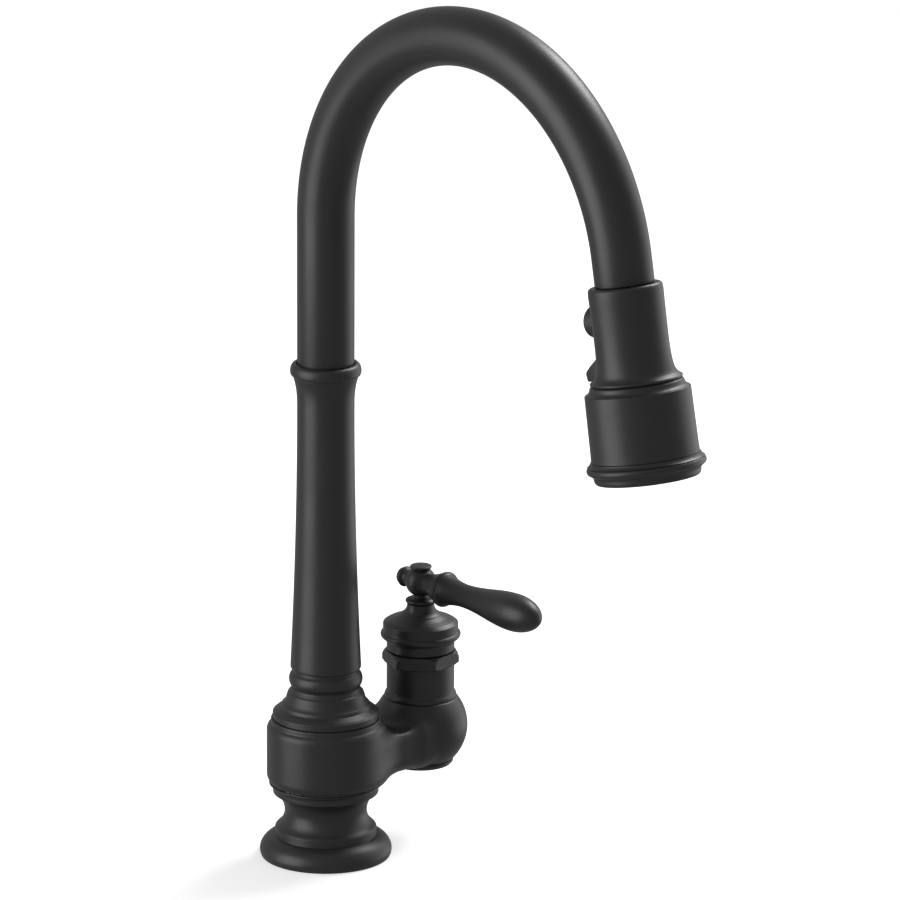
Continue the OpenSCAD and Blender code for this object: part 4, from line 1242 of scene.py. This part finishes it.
class FAUCET_OT_controls(bpy.types.Operator):
    """Round push button with its spring, and the thumb tab"""

    bl_idname = "faucet.controls"
    bl_label = "Button and tab"

    def execute(self, context):
        out_of_head = ON_HEAD @ Matrix.Translation((0, 0, BUTTON_Z * MM)) @ BUTTON_SIDE
        stem, out, button_r = span("button", out_of_head)
        face = out - 0.2
        cap = capped("button_cap", rounded(
            [(0, stem), (2, stem, 0.2), (2, 21.6, 0.3), (6.6, 21.6, 0.3), (6.6, 14.2, 0.2),
             (button_r, 14.2, 0.2), (button_r, face, 0.9), (5.4, face + 0.12, 0.5),
             (4.6, face - 0.45, 0.8), (0, face - 0.65)],
            closed=False), out_of_head, 96)
        finish_piece(cap, "button", "matte_black_coat", "button")
        finish_piece(self.spring(out_of_head), "spray_head", "bright_steel", "button_spring")
        finish_piece(self.tab(), "thumb_tab", "matte_black_coat", "thumb_tab")
        return {"FINISHED"}

    def spring(self, place):
        """Coil behind the button, at its pressed length"""
        coil = grow("button_spring_wound", helix_tree("spring coil", 12, 40), {
            "Turns": 4.0, "Radius": 4.4 * MM, "Height": 6.0 * MM, "Thickness": 0.45 * MM,
            "Material": material_named("bright_steel")})
        place_mesh(coil, place @ Matrix.Translation((0, 0, 12.7 * MM)))
        return dress(coil, sharp=60)

    def tab(self):
        """Wedge with a rounded crest, which reaches into the grip through its window"""
        half_w, back, low, high = 8.5, 10.4, 34.4, 45.3
        side = [(back, low), (17.2, low), (21.6, 37.6), (23.9, 39.6)]
        side += arc((22.9, 42.0), 2.45, -62, 22, 10)
        side += [(25.0, 43.8), (24.7, 44.8), (24.2, high), (back, high)]
        count = len(side)
        points = [(x, -y, z) for x in (-half_w, half_w) for y, z in side]
        faces = [list(range(count)), list(range(2 * count - 1, count - 1, -1))]
        faces += [[i, count + i, count + (i + 1) % count, (i + 1) % count] for i in range(count)]
        tab = mesh_object("thumb_tab_moulded", points, faces, ON_HEAD)
        dress(tab)
        bevel = tab.modifiers.new("edges", "BEVEL")
        bevel.width = 0.35 * MM
        bevel.segments = 3
        bevel.angle_limit = math.radians(25)
        apply_modifiers(tab)
        return dress(tab, sharp=45)


def helix_tree(name, sides, steps):
    """Geometry nodes: a bar with so many sides wound round z, drawn in so many steps a turn"""
    tree, inn, out = new_group(
        name, "GeometryNodeTree",
        [("Turns", "NodeSocketFloat", 4.0), ("Radius", "NodeSocketFloat", 0.004),
         ("Height", "NodeSocketFloat", 0.006), ("Thickness", "NodeSocketFloat", 0.0005),
         ("Material", "NodeSocketMaterial", None)], [("Geometry", "NodeSocketGeometry")])
    coil = add_node(tree, "GeometryNodeCurveSpiral", ("Rotations", inn.outputs["Turns"]),
                    ("Start Radius", inn.outputs["Radius"]), ("End Radius", inn.outputs["Radius"]),
                    ("Height", inn.outputs["Height"]), inputs={"Resolution": steps})
    upright = add_node(tree, "GeometryNodeSetCurveNormal", ("Curve", coil.outputs[0]), mode="Z_UP")
    section = add_node(tree, "GeometryNodeCurvePrimitiveCircle", ("Radius", inn.outputs["Thickness"]),
                       inputs={"Resolution": sides})
    bar = add_node(tree, "GeometryNodeCurveToMesh", ("Curve", upright.outputs[0]),
                   ("Profile Curve", section.outputs["Curve"]), inputs={"Fill Caps": True})
    close_tree(tree, inn, out, bar.outputs[0])
    return tree


# ------------------------------------------------------------------ docking parts and hose

class FAUCET_OT_docking(bpy.types.Operator):
    """Socket in the spout, the head's docking plug, and the hose with its crimped end and swivel"""

    bl_idname = "faucet.docking"
    bl_label = "Docking and hose"

    def execute(self, context):
        finish_piece(self.socket(), "spout", "black_moulding", "dock_socket")
        finish_piece(self.plug(), "spray_head", "black_moulding", "docking_plug")
        finish_piece(self.ferrule(), "hose_end", "bright_steel", "hose_ferrule")
        finish_piece(self.swivel(), "hose_end", "machined_brass", "hose_swivel")
        self.hose()
        return {"FINISHED"}

    def socket(self):
        """Stepped lining of the spout's mouth, with a lead-in for the plug"""
        low, high, step_r = span("dock_socket", ON_HEAD)
        throat, plug_bore, step_z = 7.2, 9.8, -13.0
        outline = rounded(
            [(throat, low, 0.6), (step_r - 1, low, 0.4), (step_r - 1, step_z, 0.1), (step_r, step_z, 0.1),
             (step_r, high, 0.1), (plug_bore + 1.2, high, 0.5), (plug_bore, high - 1.6, 0.8),
             (plug_bore, -12.6, 0.4), (throat, -12.6, 0.8)])
        return lathe("dock_socket_moulded", outline, ON_HEAD)

    def plug(self):
        """Hollow plug with two shallow grooves, on the flange that closes the grip"""
        low, top, flange_r = span("docking_plug", ON_HEAD)
        bore, plug_r, shoulder = 6.8, 9.5, 0.3
        corners = [(bore, low, 0.4), (plug_r - 1.3, low, 0.6), (plug_r, low + 1.8, 0.8)]
        for z in (-8.2, -3.4):
            corners += [(plug_r, z, 0.2), (plug_r - 0.6, z + 0.4, 0.2), (plug_r - 0.6, z + 1.8, 0.2),
                        (plug_r, z + 2.2, 0.2)]
        corners += [(plug_r, shoulder, 0.2), (flange_r, shoulder, 0.2), (flange_r, top, 0.2),
                    (bore, top, 0.2)]
        return lathe("docking_plug_moulded", rounded(corners), ON_HEAD)

    def ferrule(self):
        """Crimped sleeve over the hose, with three rolled grooves"""
        low, high, outer_r = span("hose_ferrule", ON_HEAD)
        hose_bore, stem_bore, deep = 5.68, 3.5, 0.35
        corners = [(hose_bore, low, 0.1), (outer_r, low, 0.2)]
        for z in (-26.5, -22.5, -18.5):
            corners += [(outer_r, z - 0.9, 0.4), (outer_r - deep, z - 0.4, 0.3),
                        (outer_r - deep, z + 0.4, 0.3), (outer_r, z + 0.9, 0.4)]
        corners += [(outer_r, high, 0.2), (stem_bore, high, 0.1), (stem_bore, high - 0.8, 0.1),
                    (hose_bore, high - 0.8, 0.1)]
        return lathe("hose_ferrule_crimped", rounded(corners), ON_HEAD, 96)

    def swivel(self):
        """Hollow stub with a groove for each seal and a collar at its end"""
        low, high, collar_r = span("hose_swivel", ON_HEAD)
        bore, stub_r, groove_r = 3.5, 6.75, 5.55
        corners = [(bore, low, 0.1), (5.2, low, 0.1), (5.2, -11.6, 0.2), (stub_r, -11.6, 0.4)]
        for z in (-6, 2):
            corners += [(stub_r, z, 0.1), (groove_r, z, 0.1), (groove_r, z + 2, 0.1), (stub_r, z + 2, 0.1)]
        corners += [(stub_r, 8.4, 0.2), (collar_r, 8.4, 0.2), (collar_r, high, 0.3), (bore, high, 0.3)]
        return lathe("hose_swivel_turned", rounded(corners), ON_HEAD, 96)

    def hose(self):
        """The length of hose that stretches from the spout to the crimped sleeve behind the head"""
        hose_r, low, high = 5.6, -34.0, -15.2
        levels = np.linspace(low, high, 24)
        outline = [(0, low)] + [(hose_r, z) for z in levels] + [(0, high)]
        stretch = capped("hose_stretch", outline, ON_HEAD, 64)
        stretch.data.materials.append(material_named("braided_hose"))
        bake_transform(stretch)


# ------------------------------------------------------------------ below the deck

class FAUCET_OT_fixing(bpy.types.Operator):
    """Threaded shank, mounting nut and its two clamping screws"""

    bl_idname = "faucet.fixing"
    bl_label = "Fixing"

    def execute(self, context):
        shape = context.scene.faucet_shape
        finish_piece(self.shank(shape), "base", "machined_brass")
        finish_piece(self.nut(), "base", "machined_brass", "mounting_nut")
        finish_piece(self.screws(), "base", "bright_steel", "nut_screws")
        return {"FINISHED"}

    def shank(self, shape):
        """Turned core, with the ridges of the thread wound round it below the deck's face"""
        low, _, outer_r = span("mounting_shank")
        thread_low, thread_high = low + 1.5, -2.0
        pitch, deep, bore = shape.thread_pitch / MM, 0.5, 13.0
        root_r = outer_r - deep - 0.05
        top = 41.8
        core = lathe("shank_core", rounded(
            [(bore, low, 0.3), (root_r - 0.6, low, 0.3), (root_r, low + 0.8, 0.2), (root_r, thread_high, 0.2),
             (outer_r, thread_high + 0.6, 0.2), (outer_r, top, 0.3), (bore, top, 0.3)]))
        finish_piece(core, "base", "machined_brass", "mounting_shank")
        ridge = grow("shank_thread", helix_tree("thread", 4, 48), {
            "Turns": (thread_high - thread_low) / pitch, "Radius": (outer_r - deep) * MM,
            "Height": (thread_high - thread_low) * MM, "Thickness": deep * MM,
            "Material": material_named("machined_brass")})
        place_mesh(ridge, Matrix.Translation((0, 0, thread_low * MM)))
        return dress(ridge, sharp=30)

    def nut(self):
        """Round nut with grip notches round its rim, bored for the shank and the two screws"""
        low, high, outer_r = span("mounting_nut")
        shank_r = span("mounting_shank")[2] + 0.02
        screw_bore, notches = 2.52, 24

        def field(p):
            r, a = np.hypot(p[..., 0], p[..., 1]), np.arctan2(p[..., 1], p[..., 0])
            disc = carve(np.maximum(r - outer_r, np.maximum(low - p[..., 2], p[..., 2] - high)),
                         tube_field(p, 2, (0, 0), shank_r, low - 5, high + 5), 0.5)
            beyond = np.abs(p[..., 2] - (low + high) / 2) - (high - low) / 2 + 1
            round_rim = np.hypot(np.maximum(r - outer_r + 1, 0), np.maximum(beyond, 0)) - 1
            body = np.maximum(disc, round_rim)
            body = np.maximum(body, r - outer_r + 0.8 * (0.5 + 0.5 * np.cos(a * notches)) ** 4)
            for x in (-SCREW_X, SCREW_X):
                body = carve(body, tube_field(p, 2, (x, 0), screw_bore, low - 5, high + 5), 0.3)
            return body

        reach = outer_r + 1
        return cast("mounting_nut_cast", field, (-reach, -reach, low - 1), (reach, reach, high + 1), 0.65)

    def screws(self):
        """Two cap screws with turned sockets, on both sides of the shank"""
        low, high, _ = span("nut_screws")
        head_r, stem_r = 4.2, 2.48
        head_z = span("mounting_nut")[0] - 4
        screw = capped("screw_pattern", rounded(
            [(0, low + 2.4), (2.4, low + 2.4, 0.1), (2.4, low, 0.2), (head_r, low, 0.5),
             (head_r, head_z, 0.2), (stem_r, head_z, 0.1), (stem_r, high - 0.6, 0.2),
             (stem_r - 0.4, high), (0, high)],
            closed=False), segments=48)
        screws = grow("nut_screws_turned", row_tree(), {
            "Piece": screw, "Material": material_named("bright_steel"),
            "Start": (-SCREW_X * MM, 0, 0), "Step": (2 * SCREW_X * MM, 0, 0), "Count": 2})
        bpy.data.objects.remove(screw)
        return dress(screws, sharp=38)


def row_tree():
    """Geometry nodes: copies of a piece in a straight row"""
    tree, inn, out = new_group(
        "row of pieces", "GeometryNodeTree",
        [("Piece", "NodeSocketObject", None), ("Start", "NodeSocketVector", None),
         ("Step", "NodeSocketVector", None), ("Count", "NodeSocketInt", 2),
         ("Material", "NodeSocketMaterial", None)], [("Geometry", "NodeSocketGeometry")])
    piece = add_node(tree, "GeometryNodeObjectInfo", ("Object", inn.outputs["Piece"]))
    line = add_node(tree, "GeometryNodeMeshLine", ("Count", inn.outputs["Count"]),
                    ("Start Location", inn.outputs["Start"]), ("Offset", inn.outputs["Step"]))
    copies = add_node(tree, "GeometryNodeInstanceOnPoints", ("Points", line.outputs[0]),
                      ("Instance", piece.outputs["Geometry"]))
    close_tree(tree, inn, out, copies.outputs[0])
    return tree


# ------------------------------------------------------------------ pieces that keep their CAD shape

CAD_FINISHES = {
    "machined_brass": ("column_nipple", "hot_inlet_pipe", "cold_inlet_pipe", "outlet_pipe", "line_couplings",
                       "cartridge_cap", "spout_nose"),
    "bright_steel": ("steel_washer", "spout_clip", "flow_plunger", "pivot_pin", "set_screw"),
    "magnet_nickel": ("dock_magnet", "plug_magnet"),
    "soft_rubber": ("deck_gasket", "deck_washer", "cartridge_seals", "swivel_seals", "spray_hose_lower",
                    "spray_hose_upper"),
    "white_moulding": ("upper_bush", "lower_bush", "spout_washer", "cartridge_body", "head_core"),
    "black_moulding": ("check_valve", "spray_housing"),
    "polished_ceramic": ("fixed_disc",),
}


class FAUCET_OT_inner_parts(bpy.types.Operator):
    """Materials of the seals, pipes, bushes and other pieces that keep their CAD shape"""

    bl_idname = "faucet.inner_parts"
    bl_label = "Inner parts"

    def execute(self, context):
        for finish, nodes in CAD_FINISHES.items():
            for node in nodes:
                for slot in frame["nodes"][node].material_slots:
                    slot.material = material_named(finish)
        return {"FINISHED"}


# ------------------------------------------------------------------ panel and registration

BUILD_ORDER = (
    FAUCET_OT_stage, FAUCET_OT_finishes, FAUCET_OT_pedestal, FAUCET_OT_body, FAUCET_OT_column,
    FAUCET_OT_spout, FAUCET_OT_valve, FAUCET_OT_lever, FAUCET_OT_grip, FAUCET_OT_head_turnings,
    FAUCET_OT_spray_face, FAUCET_OT_controls, FAUCET_OT_docking, FAUCET_OT_fixing, FAUCET_OT_inner_parts)


class FAUCET_PT_build(bpy.types.Panel):
    """Buttons that build the faucet, and its settings"""

    bl_label = "Pull-down faucet"
    bl_idname = "FAUCET_PT_build"
    bl_space_type = "VIEW_3D"
    bl_region_type = "UI"
    bl_category = "Faucet"

    def draw(self, context):
        scene = context.scene
        for title, group in (("Stage", scene.faucet_stage), ("Finish", scene.faucet_finish),
                             ("Shape", scene.faucet_shape)):
            self.layout.label(text=title)
            for key in group.__annotations__:
                self.layout.prop(group, key)
        for operator in BUILD_ORDER:
            self.layout.operator(operator.bl_idname)


CLASSES = (FaucetShape, FaucetFinish, FaucetStage) + BUILD_ORDER + (FAUCET_PT_build,)


def register():
    for cls in CLASSES:
        bpy.utils.register_class(cls)
    bpy.types.Scene.faucet_shape = PointerProperty(type=FaucetShape)
    bpy.types.Scene.faucet_finish = PointerProperty(type=FaucetFinish)
    bpy.types.Scene.faucet_stage = PointerProperty(type=FaucetStage)


def unregister():
    del bpy.types.Scene.faucet_stage
    del bpy.types.Scene.faucet_finish
    del bpy.types.Scene.faucet_shape
    for cls in reversed(CLASSES):
        bpy.utils.unregister_class(cls)


def main():
    register()
    bpy.ops.faucet.stage()
    bpy.ops.faucet.finishes()
    bpy.ops.faucet.pedestal()
    bpy.ops.faucet.body()
    bpy.ops.faucet.column()
    bpy.ops.faucet.spout()
    bpy.ops.faucet.valve()
    bpy.ops.faucet.lever()
    bpy.ops.faucet.grip()
    bpy.ops.faucet.head_turnings()
    bpy.ops.faucet.spray_face()
    bpy.ops.faucet.controls()
    bpy.ops.faucet.docking()
    bpy.ops.faucet.fixing()
    bpy.ops.faucet.inner_parts()


if __name__ == "__main__":
    main()
